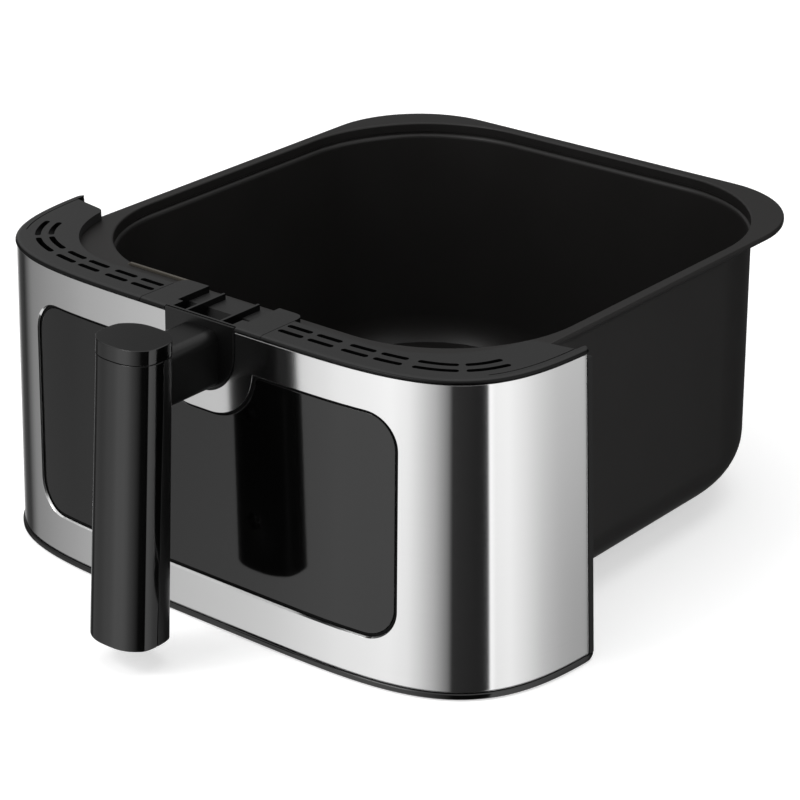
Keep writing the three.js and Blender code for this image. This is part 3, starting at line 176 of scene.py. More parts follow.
# %% Blocks with rounded edges
def block(low, high):
    """A cube primitive from one corner to the other, in millimetres."""
    size = [b - a for a, b in zip(low, high)]
    middle = [(a + b) / 2 for a, b in zip(low, high)]
    only(camera)
    bpy.ops.mesh.primitive_cube_add(size=1, location=mm(*middle), scale=mm(*size))
    piece = bpy.context.object
    bpy.ops.object.transform_apply(location=True, rotation=False, scale=True)
    return piece


def round_edges(piece, axis, radius, steps, test=lambda point: True):
    """Bevels the edges that run along an axis and pass a test, to a radius in millimetres."""
    pick(piece, "EDGE", lambda edge: (
        runs_along(piece, edge, axis) and all(test(point) for point in ends(piece, edge))
    ))
    bpy.ops.mesh.bevel(offset=mm(radius), segments=steps, affect="EDGES")
    leave()


# %% Bodies from rings
def ring(points):
    """A circle primitive whose points are laid out along an outline, in millimetres."""
    bpy.ops.mesh.primitive_circle_add(vertices=len(points))
    loop = bpy.context.object
    for vertex, point in zip(loop.data.vertices, points):
        vertex.co = mm(*point)
    return loop


def bridge_rings(rings):
    """Joins rings of equally many points into one closed body, each bridged to the next.

    Two neighbours never lie at quite the same height, because bridging needs to tell up from down.
    """
    only(camera)
    loops = [ring(points) for points in rings]
    only(*loops)
    bpy.ops.object.join()
    body = bpy.context.object
    count = len(rings[0])
    for i in range(len(rings) - 1):
        low, high = i * count, (i + 2) * count
        pick(body, "EDGE", lambda edge: all(low <= index < high for index in edge.vertices))
        bpy.ops.mesh.bridge_edge_loops()
    for low in (0, (len(rings) - 1) * count):
        pick(body, "EDGE", lambda edge: all(low <= index < low + count for index in edge.vertices))
        bpy.ops.mesh.edge_face_add()
    outward(body)
    return body


# %% [markdown]
# ## Finishes
# Every material starts from what the real one is. Colours are written as hex values, which one function
# turns to the linear values that the shader wants. Patterns read Object coordinates, which are metres in
# the drawer's own frame, so their scales come from real sizes.

# %% Colour and node helpers
def linear(code):
    """A hex colour as the linear red, green, blue and alpha of a shader socket."""
    channels = [int(code[k:k + 2], 16) / 255 for k in (1, 3, 5)]
    bent = [c / 12.92 if c <= 0.04045 else ((c + 0.055) / 1.055) ** 2.4 for c in channels]
    return (*bent, 1.0)


def add(material, kind, links=None, inputs=None, **settings):
    """Adds a node with its settings, its input values and the sockets that feed it."""
    tree = material.node_tree
    node = tree.nodes.new("ShaderNode" + kind)
    for key, value in settings.items():
        setattr(node, key, value)
    for key, value in (inputs or {}).items():
        node.inputs[key].default_value = value
    for key, socket in (links or {}).items():
        tree.links.new(socket, node.inputs[key])
    return node


def new_material(name, **sockets):
    """A Principled material; the keywords set its sockets, with _ for each space."""
    material = bpy.data.materials.new(name)
    material.use_nodes = True
    shader = material.node_tree.nodes["Principled BSDF"]
    for key, value in sockets.items():
        shader.inputs[key.replace("_", " ")].default_value = value
    return material, shader


def feed(material, shader, socket, source):
    material.node_tree.links.new(source, shader.inputs[socket])


def grain(material, size_mm, stretch=(1, 1, 1), detail=2.0):
    """Noise whose patches are about a size in millimetres, longer along a stretched axis."""
    place = add(material, "TexCoord").outputs["Object"]
    mapped = add(material, "Mapping", {"Vector": place}, {"Scale": [1 / s for s in stretch]})
    return add(
        material, "TexNoise", {"Vector": mapped.outputs[0]},
        {"Scale": 1 / mm(size_mm), "Detail": detail},
    ).outputs["Fac"]


def spread(material, source, low, high):
    """Turns a 0 to 1 pattern into a range of values."""
    return add(material, "MapRange", {"Value": source}, {"To Min": low, "To Max": high}).outputs[0]


def tint(material, source, low, high):
    """A pattern between two hex colours."""
    return add(
        material, "Mix", {"Factor": source}, {"A": linear(low), "B": linear(high)}, data_type="RGBA",
    ).outputs["Result"]


def relief(material, shader, source, depth_mm, strength=1.0):
    """Raises and sinks the surface by a pattern, as deep as a real texture is."""
    bump = add(
        material, "Bump", {"Height": source}, {"Distance": mm(depth_mm), "Strength": strength},
    )
    feed(material, shader, "Normal", bump.outputs[0])


# %% [markdown]
# ### Brushed stainless steel
# The front is a stainless sheet brushed from side to side. The fine scratches spread each reflection up
# and down and leave it crisp from side to side, which draws the tall soft bands across the curved corners.
# Anisotropy does that, and thin streaks of roughness keep the bands from looking like plain chrome.

# %% Brushed stainless steel
steel, shader = new_material(
    "brushed_stainless", Metallic=1.0, Anisotropic=0.85, Anisotropic_Rotation=0.25,
)
streaks = grain(steel, 0.5, stretch=(120, 120, 1), detail=3.0)
feed(steel, shader, "Base Color", tint(steel, streaks, "#d3d3d3", "#d6d6d6"))
feed(steel, shader, "Roughness", spread(steel, streaks, 0.12, 0.15))
tangent = add(steel, "Tangent", direction_type="RADIAL", axis="Z")
feed(steel, shader, "Tangent", tangent.outputs[0])

# %% [markdown]
# ### Gloss black
# The window is black acrylic and the grip is ABS moulded in a polished tool. Both are nearly black in
# themselves, so all that the eye sees is the clear reflection of the room. A very faint waviness, as
# mouldings have, keeps the reflections from being as straight as in glass.

# %% Gloss blacks
window_gloss, shader = new_material(
    "gloss_black_acrylic", Base_Color=linear("#050505"), Roughness=0.06, IOR=1.49,
)
relief(window_gloss, shader, grain(window_gloss, 60, detail=0.0), 0.02, 0.3)

grip_gloss, shader = new_material(
    "gloss_black_abs", Base_Color=linear("#040404"), Roughness=0.1, IOR=1.53,
)
wave = grain(grip_gloss, 25, detail=0.0)
relief(grip_gloss, shader, wave, 0.03, 0.4)
feed(grip_gloss, shader, "Roughness", spread(grip_gloss, grain(grip_gloss, 9), 0.09, 0.12))

# %% [markdown]
# ### Satin moulded plastics
# The vent trims are a tougher nylon with a fine eroded texture, which reads as an even dark grey from
# above. The upright walls are smoother, as a moulding's walls are polished so that it slides out of its
# mould, and their copy of the nylon is painted nearly black as shade. The arm and the panel's inner shell
# are a smoother satin black.

# %% Satin plastics
trim_nylon, shader = new_material("eroded_black_nylon", IOR=1.53, Specular_IOR_Level=0.3)
erosion = grain(trim_nylon, 0.5, detail=3.0)
feed(trim_nylon, shader, "Base Color", tint(trim_nylon, erosion, "#171717", "#1c1c1c"))
feed(trim_nylon, shader, "Roughness", spread(trim_nylon, erosion, 0.42, 0.52))
relief(trim_nylon, shader, erosion, 0.02, 0.35)

# A smoother, nearly black copy of the trim nylon for upright faces: painted shade.
shaded_wall_nylon, shader = new_material("smooth_wall_nylon_painted_shade", IOR=1.53, Specular_IOR_Level=0.15)
drag = grain(shaded_wall_nylon, 0.4, stretch=(1, 1, 12), detail=2.0)
feed(shaded_wall_nylon, shader, "Base Color", tint(shaded_wall_nylon, drag, "#020202", "#050505"))
feed(shaded_wall_nylon, shader, "Roughness", spread(shaded_wall_nylon, drag, 0.3, 0.4))

satin_abs, shader = new_material("satin_black_abs", IOR=1.53, Specular_IOR_Level=0.28)
satin = grain(satin_abs, 0.6, detail=3.0)
feed(satin_abs, shader, "Base Color", tint(satin_abs, satin, "#070707", "#0b0b0b"))
feed(satin_abs, shader, "Roughness", spread(satin_abs, satin, 0.3, 0.38))
relief(satin_abs, shader, satin, 0.015, 0.3)

# %% [markdown]
# ### Non-stick coating
# The pan is pressed steel with a sprayed and baked non-stick coat. It is matte and nearly black, with a
# fine orange-peel relief and faint specks of the mineral filler. The plate has the same coat. The sharp
# front bead gets a paler copy of the coat, which paints a highlight along it.

# %% Non-stick coat
def coat(name, dark, pale, rough_low, rough_high):
    material, shader = new_material(name, IOR=1.45, Specular_IOR_Level=0.35)
    specks = grain(material, 0.7, detail=4.0)
    clouds = grain(material, 30, detail=1.0)
    feed(material, shader, "Base Color", tint(material, specks, dark, pale))
    feed(material, shader, "Roughness", spread(material, clouds, rough_low, rough_high))
    relief(material, shader, specks, 0.02, 0.3)
    return material


pan_coat = coat("sprayed_nonstick_coat", "#151414", "#1b1a19", 0.36, 0.46)
plate_coat = coat("plate_nonstick_coat", "#0f0e0e", "#171615", 0.4, 0.5)
# The paler copy of the coat paints a highlight on the front bead.
bead_highlight_coat = coat("pale_nonstick_coat_painted_highlight", "#3c3934", "#4e4a43", 0.34, 0.44)

# %% [markdown]
# ### Rubber and small metal
# The gasket and the plate's four bumpers are silicone rubber: black, dull and slightly mottled. The
# bracket is zinc-plated sheet and the screws are zinc-plated steel, with the soft patches of the plating.

# %% Rubber and zinc
def rubber(name, dark, pale):
    material, shader = new_material(name, IOR=1.41, Specular_IOR_Level=0.2)
    mottle = grain(material, 1.5, detail=2.0)
    feed(material, shader, "Base Color", tint(material, mottle, dark, pale))
    feed(material, shader, "Roughness", spread(material, mottle, 0.6, 0.75))
    return material


def zinc(name, patch_mm, rough_low, rough_high):
    material, shader = new_material(name, Metallic=1.0)
    patches = grain(material, patch_mm, detail=2.0)
    feed(material, shader, "Base Color", tint(material, patches, "#a7abad", "#bcbfc0"))
    feed(material, shader, "Roughness", spread(material, patches, rough_low, rough_high))
    return material


gasket_rubber = rubber("black_gasket_rubber", "#010101", "#030303")
silicone = rubber("black_silicone", "#121212", "#1a1a1a")
bracket_zinc = zinc("zinc_plated_sheet", 6, 0.3, 0.45)
screw_zinc = zinc("zinc_plated_screw", 1.2, 0.25, 0.38)


# %% Finishing a piece
def finish(piece, name, body, material, replaced=(), angle=30):
    """Names a piece, gives it its finish, ties it to its body and hides the CAD nodes it replaces."""
    only(piece)
    bpy.ops.object.transform_apply(location=True, rotation=True, scale=True)
    bpy.ops.object.shade_smooth_by_angle(angle=math.radians(angle))
    apply_modifier(piece, "WEIGHTED_NORMAL", keep_sharp=True)
    piece.name = name
    piece.data.name = name
    piece.data.materials.clear()
    piece.data.materials.append(material)
    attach(piece, body)
    for node in replaced:
        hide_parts(node)
    print(f"{name}: {len(piece.data.vertices)} points, {len(piece.data.polygons)} faces")


# %% [markdown]
# ## The panel's plan
# Seen from above, the panel is a superellipse: flat across the front, then turned into the wings with no
# visible start to the corner. Flat sheets are cut and drilled first and rolled to this plan afterwards,
# as the press does it. A place on the flat sheet is a run along the plan, a depth behind the steel's
# face, and a height.

# %% The plan
FRONT_Y = -159.4
HALF_WIDTH = 149.5
CURVE_DEPTH = 130.3
SQUARENESS = 4.96
STEEL_END = 73.9  # depth of the wings behind the front
WING_END = STEEL_END + 3.2  # the rail and the trims run on this far
STEEL_LOW = 3.0
STEEL_HIGH = 142.4
LEAN = 4.5  # the lower edge stands this far outside the upper edge


def plan(theta, inset=0.0):
    """A point of the plan on the right and the way it faces; a quarter turn is straight ahead."""
    across = math.cos(theta) ** (2 / SQUARENESS)
    along = math.sin(theta) ** (2 / SQUARENESS)
    facing = Vector((
        across ** (SQUARENESS - 1) / HALF_WIDTH,
        -(along ** (SQUARENESS - 1)) / CURVE_DEPTH,
    )).normalized()
    place = Vector((HALF_WIDTH * across, FRONT_Y + CURVE_DEPTH * (1 - along)))
    return place - facing * inset, facing


def theta_at_depth(depth):
    return math.asin((1 - depth / CURVE_DEPTH) ** (SQUARENESS / 2))


def track(inset, depth):
    """Runs along an inset of the plan, from the centre to a depth, with their angles."""
    samples = 3000
    last = theta_at_depth(depth)
    runs, thetas = [0.0], [math.pi / 2]
    before = plan(math.pi / 2, inset)[0]
    for i in range(1, samples + 1):
        theta = math.pi / 2 - (math.pi / 2 - last) * (i / samples) ** 3
        here = plan(theta, inset)[0]
        runs.append(runs[-1] + (here - before).length)
        thetas.append(theta)
        before = here
    return runs, thetas


def lean_at(z):
    return LEAN * max(0.0, (STEEL_HIGH - z) / (STEEL_HIGH - STEEL_LOW))


def angle_at(runs, thetas, run):
    i = min(max(bisect.bisect_left(runs, run), 1), len(runs) - 1)
    share = (run - runs[i - 1]) / (runs[i] - runs[i - 1])
    return thetas[i - 1] + (thetas[i] - thetas[i - 1]) * share


def stations(runs, thetas, turn=1.5, longest=14.0):
    """Runs at which a flat sheet is creased so that it bends smoothly."""
    marks = [0.0]
    facing = plan(thetas[0])[1]
    for run, theta in zip(runs, thetas):
        here = plan(theta)[1]
        if math.degrees(facing.angle(here)) > turn or run - marks[-1] > longest:
            marks.append(run)
            facing = here
    return [-mark for mark in reversed(marks[1:])] + marks


def roll(piece, table):
    """Creases a flat piece at the plan's stations and rolls it to the plan."""
    runs, thetas = table
    xs = [vertex.co.x * 1000 for vertex in piece.data.vertices]
    for mark in stations(runs, thetas):
        if min(xs) < mark < max(xs):
            pick(piece, "VERT", lambda point: True)
            bpy.ops.mesh.bisect(plane_co=mm(mark, 0, 0), plane_no=(1, 0, 0))
    leave()
    for vertex in piece.data.vertices:
        run, inset, z = (value * 1000 for value in vertex.co)
        side = -1 if run < 0 else 1
        place, facing = plan(angle_at(runs, thetas, abs(run)))
        place = place + facing * (lean_at(z) - inset)
        vertex.co = mm(side * place.x, place.y, z)


PANEL_TRACK = track(0.0, STEEL_END)
HALF_SHEET = PANEL_TRACK[0][-1]
print(f"the steel sheet is {2 * HALF_SHEET:.1f} mm long before it is rolled")

# %% [markdown]
# ## The steel front
# The front is punched from sheet: a window whose top edge dips round the handle, and a round-bottomed
# notch for the handle's block. A cube is cut with two tools of the same outlines, its edges are rolled
# over, and the flat sheet is rolled to the plan. The roll of its top edge faces the ceiling and draws the
# bright line under the trims. The window's and the notch's edges are only just broken.

# %% The outline tools
WINDOW_HALF = 105.8
WINDOW_LOW = 21.5
WINDOW_HIGH = 125.4
WINDOW_CORNER = 16
DIP_HALF = 29.5
DIP_LOW = 102.5
DIP_RADIUS = 24
DIP_FILLET = 3.5
NOTCH_RADIUS = 20.3
NOTCH_Z = 131.3
PAST = 5.0  # a cutting tool reaches this far past the piece


def window_block(inset, front, behind):
    """A solid with the window's outline, drawn in by an inset, between two depths."""
    half, low, high = WINDOW_HALF - inset, WINDOW_LOW + inset, WINDOW_HIGH - inset
    piece = block((-half, front, low), (half, behind, high))
    round_edges(piece, 1, WINDOW_CORNER - inset, 14)
    dip_half, dip_low = DIP_HALF + inset, DIP_LOW - inset
    dip = block((-dip_half, front - PAST, dip_low), (dip_half, behind + PAST, high + PAST))
    round_edges(dip, 1, DIP_RADIUS + inset, 20, lambda point: point.z < mm(high))
    cut(piece, dip)
    round_edges(piece, 1, DIP_FILLET - inset * 0.9, 6, lambda point: (
        abs(point.z - mm(high)) < 1e-5 and abs(point.x) < mm(dip_half + 3)
    ))
    return piece


def notch_block(inset, front, behind, top):
    """A solid with the notch's outline; its two rounds stop just short of each other."""
    radius = NOTCH_RADIUS - inset
    piece = block((-radius, front, NOTCH_Z - radius), (radius, behind, top))
    round_edges(piece, 1, radius * 0.9999, 24, lambda point: point.z < mm(NOTCH_Z))
    return piece


# %% The steel sheet
SHEET = 0.95
SHEET_TOP = STEEL_HIGH - 0.5  # leaves a shadow line under the trims' lip
EDGE_ROLL = 0.7
WINDOW_ROLL = 0.12
WINDOW_TAPER = 0.45  # the opening narrows by this much towards the back of the sheet
PUNCH_PAST = 0.05  # the punch reaches past the sheet by this much

sheet = block((-HALF_SHEET, 0, STEEL_LOW), (HALF_SHEET, SHEET, SHEET_TOP))
punch = window_block(WINDOW_TAPER, -PUNCH_PAST, SHEET + PUNCH_PAST)
half_high = (WINDOW_HIGH - WINDOW_LOW) / 2
pick(punch, "VERT", lambda point: point.co.y < 0)
bpy.ops.transform.resize(
    value=(WINDOW_HALF / (WINDOW_HALF - WINDOW_TAPER), 1, half_high / (half_high - WINDOW_TAPER)),
    center_override=mm(0, -PUNCH_PAST, WINDOW_LOW + half_high),
)
leave()
cut(sheet, punch)
cut(sheet, notch_block(0, -PAST, PAST, STEEL_HIGH + PAST))
sharp_edges(sheet, lambda point: point.y < 1e-6 and (
    point.z > mm(SHEET_TOP) - 1e-6 or point.z < mm(WINDOW_LOW - 2) or abs(point.x) > mm(WINDOW_HALF + 2)
), angle=60)
bpy.ops.mesh.bevel(offset=mm(EDGE_ROLL), segments=4, affect="EDGES")
leave()
sharp_edges(sheet, lambda point: (
    point.y < 1e-6 and abs(point.x) < mm(WINDOW_HALF + 1) and point.z > mm(WINDOW_LOW - 1)
))
bpy.ops.mesh.bevel(offset=mm(WINDOW_ROLL), segments=2, affect="EDGES")
leave()
roll(sheet, PANEL_TRACK)
finish(sheet, "steel_front", "drawer", steel, ["steel_skin"], angle=24)

# %% [markdown]
# ## The window and its gasket
# The window is a thick black acrylic plate that sits just behind the steel's face, in a rubber gasket.
# Both have the opening's outline, drawn in a little, and are rolled to the same plan, so an even dark
# line runs round the plate.

# %% Window and gasket
PLATE_INSET = 1.7
PLATE_FRONT = 1.2  # behind the steel's face
PLATE_BACK = 2.5
PLATE_EDGE = 0.4
SEAL_INSET = 0.3
SEAL_WIDTH = 1.2
SEAL_FRONT = 1.5
SEAL_BACK = 2.9

insert = window_block(PLATE_INSET, PLATE_FRONT, PLATE_BACK)
sharp_edges(insert, lambda point: point.y < mm(PLATE_FRONT) + 1e-5)
bpy.ops.mesh.bevel(offset=mm(PLATE_EDGE), segments=4, affect="EDGES")
leave()
roll(insert, PANEL_TRACK)
finish(insert, "window_plate", "drawer", window_gloss, ["window_insert"], angle=24)

gasket = window_block(SEAL_INSET, SEAL_FRONT, SEAL_BACK)
cut(gasket, window_block(SEAL_INSET + SEAL_WIDTH, SEAL_FRONT - PAST, SEAL_BACK + PAST))
roll(gasket, PANEL_TRACK)
finish(gasket, "window_seal", "drawer", gasket_rubber, ["window_gasket"])

# %% [markdown]
# ## The bottom trim
# A slim plastic rail closes the panel below the steel. It has one section all the way along, so a grid
# primitive is wrapped into a long tube of that section, and the ends are closed.

# %% A section swept along the panel
RAIL_TOP = 2.7
END_TAPER = 5.0  # the rail's ends are drawn in and up over this length
END_LIFT = 0.6  # share of the rail's height by which they rise


def sweep(section, depth, count=300):
    """A closed section of (inset, z) points carried along the panel from wing to wing."""
    only(camera)
    around = len(section)
    bpy.ops.mesh.primitive_grid_add(x_subdivisions=around, y_subdivisions=count)
    piece = bpy.context.object
    start = theta_at_depth(depth)
    for index, vertex in enumerate(piece.data.vertices):
        i, j = divmod(index, around + 1)
        inset, z = section[j % around]
        theta = start + (math.pi - 2 * start) * i / count
        side = 1 if theta <= math.pi / 2 else -1
        place, facing = plan(theta if side > 0 else math.pi - theta)
        taper = max(0.0, 1 - (FRONT_Y + depth - place.y) / END_TAPER) ** 2
        place = place + facing * (lean_at(z) - inset - taper)
        vertex.co = mm(side * place.x, place.y, z + (RAIL_TOP - z) * taper * END_LIFT)
    outward(piece)
    pick(piece, "EDGE", lambda edge: False)
    bpy.ops.mesh.select_non_manifold()
    bpy.ops.mesh.fill_holes(sides=0)
    leave()
    outward(piece)
    return piece


def arc(centre, radius, start, stop, steps):
    """Points of an arc, its angles in degrees."""
    angles = [math.radians(start + (stop - start) * i / steps) for i in range(steps + 1)]
    return [(centre[0] + radius * math.cos(a), centre[1] + radius * math.sin(a)) for a in angles]


# %% The bottom rail
RAIL_PROUD = 0.9
RAIL_WIDTH = 6.0
RAIL_EDGE = 0.8

section = [
    (RAIL_WIDTH, 0), (RAIL_WIDTH, RAIL_TOP),
    *arc((RAIL_EDGE - RAIL_PROUD, RAIL_TOP - RAIL_EDGE), RAIL_EDGE, 90, 180, 5),
    *arc((RAIL_EDGE - RAIL_PROUD, RAIL_EDGE), RAIL_EDGE, 180, 270, 5),
]
rail = sweep(section, WING_END)
finish(rail, "bottom_rail", "drawer", grip_gloss, ["bottom_trim"], angle=35)

# %% [markdown]
# ## The pan
# The pan is deep-drawn from sheet: a flat bottom swept up into the walls, a small step below the rim and a
# flat rim with rolled edges. Rings of the right outline, one for each level of the section, are bridged
# into one body, first up the outside, over the rim and then down the inside.

# %% Outlines of the pan
OPENING_WIDTH = 245.6
OPENING_LENGTH = 253.2
OPENING_FRONT_RADIUS = 66
OPENING_BACK_RADIUS = 70
RIM_SIDE = 5.5
RIM_BACK = 6.0
RIM_FRONT = 16.2  # it reaches under the trims
RIM_RADIUS = 50.5
CORNER_STEPS = 20


def rounded_outline(side, front, back, front_radius, back_radius, z):
    """A rectangle with round corners, as points at one level."""
    points = []
    for x, y, radius, start in (
        (side - front_radius, front + front_radius, front_radius, -90),
        (side - back_radius, back - back_radius, back_radius, 0),
        (-side + back_radius, back - back_radius, back_radius, 90),
        (-side + front_radius, front + front_radius, front_radius, 180),
    ):
        points += arc((x, y), radius, start, start + 90, CORNER_STEPS)
    return [(x, y, z) for x, y in points]


def opening_ring(inset, z):
    return rounded_outline(
        OPENING_WIDTH / 2 - inset, -OPENING_LENGTH / 2 + inset, OPENING_LENGTH / 2 - inset,
        OPENING_FRONT_RADIUS - inset, OPENING_BACK_RADIUS - inset, z,
    )


def rim_ring(inset, z):
    return rounded_outline(
        OPENING_WIDTH / 2 + RIM_SIDE - inset, -OPENING_LENGTH / 2 - RIM_FRONT + inset,
        OPENING_LENGTH / 2 + RIM_BACK - inset, RIM_RADIUS - inset, RIM_RADIUS - inset, z,
    )


# %% The pan's body
PAN_WALL = 1.4
PAN_TOP = 140.0
STEP_Z = PAN_TOP - 6.2
STEP_WIDTH = 1.0
STEP_SLOPE = 1.6
STEP_GROOVE = 0.4  # a fine groove pressed in just above the step
FLOOR_SWEEP = 46.0
FLOOR_RISE = 34.0
RIM_THICKNESS = 2.9
RIM_EDGE = 0.9
LIP_ROLL = 1.0
HAIR = 0.02  # keeps two rings of a flat ledge apart
FLOOR_STEPS = 16

rings = []
for i in range(FLOOR_STEPS + 1):
    angle = math.pi / 2 * i / FLOOR_STEPS
    inset = STEP_WIDTH - PAN_WALL + FLOOR_SWEEP * (1 - math.sin(angle))
    rings.append(opening_ring(inset, FLOOR_RISE * (1 - math.cos(angle))))
rim_low = PAN_TOP - RIM_THICKNESS
rings += [
    opening_ring(STEP_WIDTH - PAN_WALL, STEP_Z - STEP_SLOPE),
    opening_ring(-PAN_WALL, STEP_Z),
    opening_ring(-PAN_WALL, rim_low),
]
for inset, z in arc((RIM_EDGE, rim_low + RIM_EDGE), RIM_EDGE, 270, 180, 4):
    rings.append(rim_ring(inset, z - HAIR))
for inset, z in arc((RIM_EDGE, PAN_TOP - RIM_EDGE), RIM_EDGE, 180, 90, 4):
    rings.append(rim_ring(inset, z))
for inset, z in arc((-LIP_ROLL, PAN_TOP - LIP_ROLL), LIP_ROLL, 90, 0, 6):
    rings.append(opening_ring(inset, z - HAIR))
rings += [
    opening_ring(0, STEP_Z + STEP_SLOPE),
    opening_ring(-STEP_GROOVE, STEP_Z + STEP_SLOPE * 0.8),
    opening_ring(-STEP_GROOVE, STEP_Z + STEP_SLOPE * 0.2),
    opening_ring(STEP_WIDTH * 0.4, STEP_Z - STEP_SLOPE * 0.1),
    opening_ring(STEP_WIDTH * 0.85, STEP_Z - STEP_SLOPE * 0.5),
    opening_ring(STEP_WIDTH, STEP_Z - STEP_SLOPE * 1.2),
]
for i in range(FLOOR_STEPS, -1, -1):
    angle = math.pi / 2 * i / FLOOR_STEPS
    inset = STEP_WIDTH + FLOOR_SWEEP * (1 - math.sin(angle))
    rings.append(opening_ring(inset, PAN_WALL + FLOOR_RISE * (1 - math.cos(angle))))
pan = bridge_rings(rings)
finish(pan, "pan_body", "drawer", pan_coat, ["pan"], angle=40)

# %% [markdown]
# ## The bead on the pan's front edge
# Left of the handle the pan's front edge is folded up into a low straight bead, which ends behind the
# cover. Its rounded top and a paler coat, which is a painted highlight, draw it as a thin light line. A cube
# is stretched to its length and all its edges above the rim are rounded.

# %% The front bead
BEAD_LEFT = -76.0
BEAD_RIGHT = -25.0
BEAD_SLOPE = 3.0  # its ends run down to the rim over this length
BEAD_WIDTH = 1.3
BEAD_HEIGHT = 1.3
BEAD_ROOT = 0.9  # it starts this far inside the rim
BEAD_ROUND = 0.55

bead_back = -OPENING_LENGTH / 2 + LIP_ROLL * 0.7
bead = block(
    (BEAD_LEFT, bead_back - BEAD_WIDTH, PAN_TOP - BEAD_ROOT), (BEAD_RIGHT, bead_back, PAN_TOP + BEAD_HEIGHT),
)
bead_middle = (BEAD_LEFT + BEAD_RIGHT) / 2
pick(bead, "VERT", lambda point: point.co.z > mm(PAN_TOP))
bpy.ops.transform.resize(
    value=(1 - 2 * BEAD_SLOPE / (BEAD_RIGHT - BEAD_LEFT), 1, 1),
    center_override=mm(bead_middle, bead_back, PAN_TOP),
)
leave()
sharp_edges(bead, lambda point: point.z > mm(PAN_TOP))
bpy.ops.mesh.bevel(offset=mm(BEAD_ROUND), segments=4, affect="EDGES")
leave()
# The bead's paler coat is a painted highlight.
finish(bead, "pan_front_bead", "drawer", bead_highlight_coat, angle=35)

# %% [markdown]
# ## The vent trims
# A trim lies along each half of the panel's top. Its outer edge is a soft round over the steel, its inner
# edge is an arc beside the pan, and two rows of slots follow the curve. Each slot is cut with one tool:
# a block with round ends, made flat and rolled along the rows.

# %% The trim's outline
TRIM_LOW = 140.3
TRIM_LIP_Z = 142.7
TRIM_HIGH = 144.2
TRIM_FOOT = 1.0  # the foot stands this far inside the steel's face
TRIM_PROUD = 0.6
TRIM_SWEEP = 2.2
TRIM_FRONT = 21.0
TRIM_SIDE = 124.6
TRIM_RADIUS = 52.0
TRIM_END = 76.0
TRIM_INNER_END = 67.3
TRIM_NOTCH = 70.6  # behind this depth only a strip along the outer edge runs on
STRIP_WIDTH = 3.2
STRIP_ROUND = 3.6
STRIP_OUTER = 0.7  # share of the strip's end that the outer bend takes
STRIP_INNER = 0.25
TRIM_END_ROUND = 4.5
SEAM_X = 35.15


def bend(a, corner, b, steps=8):
    """Points along a soft bend from a to b round a corner."""
    points = []
    for i in range(steps + 1):
        t = i / steps
        points.append(tuple(
            (1 - t) ** 2 * a[k] + 2 * t * (1 - t) * corner[k] + t ** 2 * b[k] for k in (0, 1)
        ))
    return points


def trim_ring(inset, z, steps=60):
    """The right-hand trim's outline at one level; the inset moves only its outer edge."""
    first = math.acos((SEAM_X / HALF_WIDTH) ** (SQUARENESS / 2))
    last = theta_at_depth(TRIM_END - STRIP_ROUND)
    outer = [plan(first + (last - first) * i / steps, inset)[0] for i in range(steps)]
    middle = (TRIM_SIDE - TRIM_RADIUS, FRONT_Y + TRIM_FRONT + TRIM_RADIUS)

    def inner(angle):
        return (middle[0] + TRIM_RADIUS * math.cos(angle), middle[1] + TRIM_RADIUS * math.sin(angle))

    def inner_angle(y):
        return math.asin(max(-1.0, min(1.0, (y - middle[1]) / TRIM_RADIUS)))

    outer_end = plan(theta_at_depth(TRIM_END), inset)[0]
    depths = (TRIM_END, TRIM_END - STRIP_ROUND, TRIM_NOTCH)
    strip_end, strip_before, notch = [plan(theta_at_depth(depth), STRIP_WIDTH)[0] for depth in depths]
    inner_end_y = FRONT_Y + TRIM_INNER_END
    inner_end = Vector(inner(inner_angle(inner_end_y)))
    turned = inner_angle(inner_end_y - TRIM_END_ROUND)
    across = strip_end - outer_end
    way = (inner_end - notch).normalized() * TRIM_END_ROUND
    points = [tuple(point) for point in outer]
    points += bend(plan(last, inset)[0], outer_end, outer_end + across * STRIP_OUTER)
    points += bend(strip_end - across * STRIP_INNER, strip_end, strip_before, 4)
    points.append(tuple(notch))
    points += bend(inner_end - way, inner_end, inner(turned))
    points += [inner(turned + (-math.pi / 2 - turned) * i / 24) for i in range(1, 25)]
    points.append((SEAM_X, FRONT_Y + TRIM_FRONT))
    return [(x, y, z) for x, y in points]


# %% The right-hand trim
OUTER_ROW = 9.8
INNER_ROW = 15.9
SLOT_WIDTH = 2.7
# For each pair of slots: the gap before it, and its length.
SLOT_PLAN = ((36.4, 13.4), (2.8, 13.4), (4.5, 13.4), (2.8, 13.5), (4.6, 19.6), (3.0, 19.2))
TOOL_LOW = 130  # each slot's tool reaches through the trim
TOOL_HIGH = 150
TOP_EDGE = 0.2

levels = [(TRIM_FOOT, TRIM_LOW), (TRIM_FOOT, TRIM_LIP_Z - HAIR)]
rise = TRIM_HIGH - TRIM_LIP_Z
for i in range(9):
    angle = math.pi / 2 * i / 8
    levels.append((TRIM_SWEEP * (1 - math.cos(angle)) - TRIM_PROUD, TRIM_LIP_Z + rise * math.sin(angle)))
trim = bridge_rings([trim_ring(inset, z) for inset, z in levels])

vent_track = track(OUTER_ROW, WING_END)
reach = 0.0
tools = []
for gap, length in SLOT_PLAN:
    start = reach + gap
    reach = start + length
    for row in (OUTER_ROW, INNER_ROW):
        tool = block((start, row - SLOT_WIDTH / 2, TOOL_LOW), (reach, row + SLOT_WIDTH / 2, TOOL_HIGH))
        round_edges(tool, 2, SLOT_WIDTH * 0.49, 6)
        roll(tool, vent_track)
        tools.append(tool)
only(*tools)
bpy.ops.object.join()
slots = bpy.context.object
cut(trim, slots)
print("slots cut:", len(tools))

# %% The groove and the left-hand copy
GROOVE_INSET = 3.8
GROOVE_WIDTH = 0.5
GROOVE_DEPTH = 0.6
GROOVE_START = 25.0

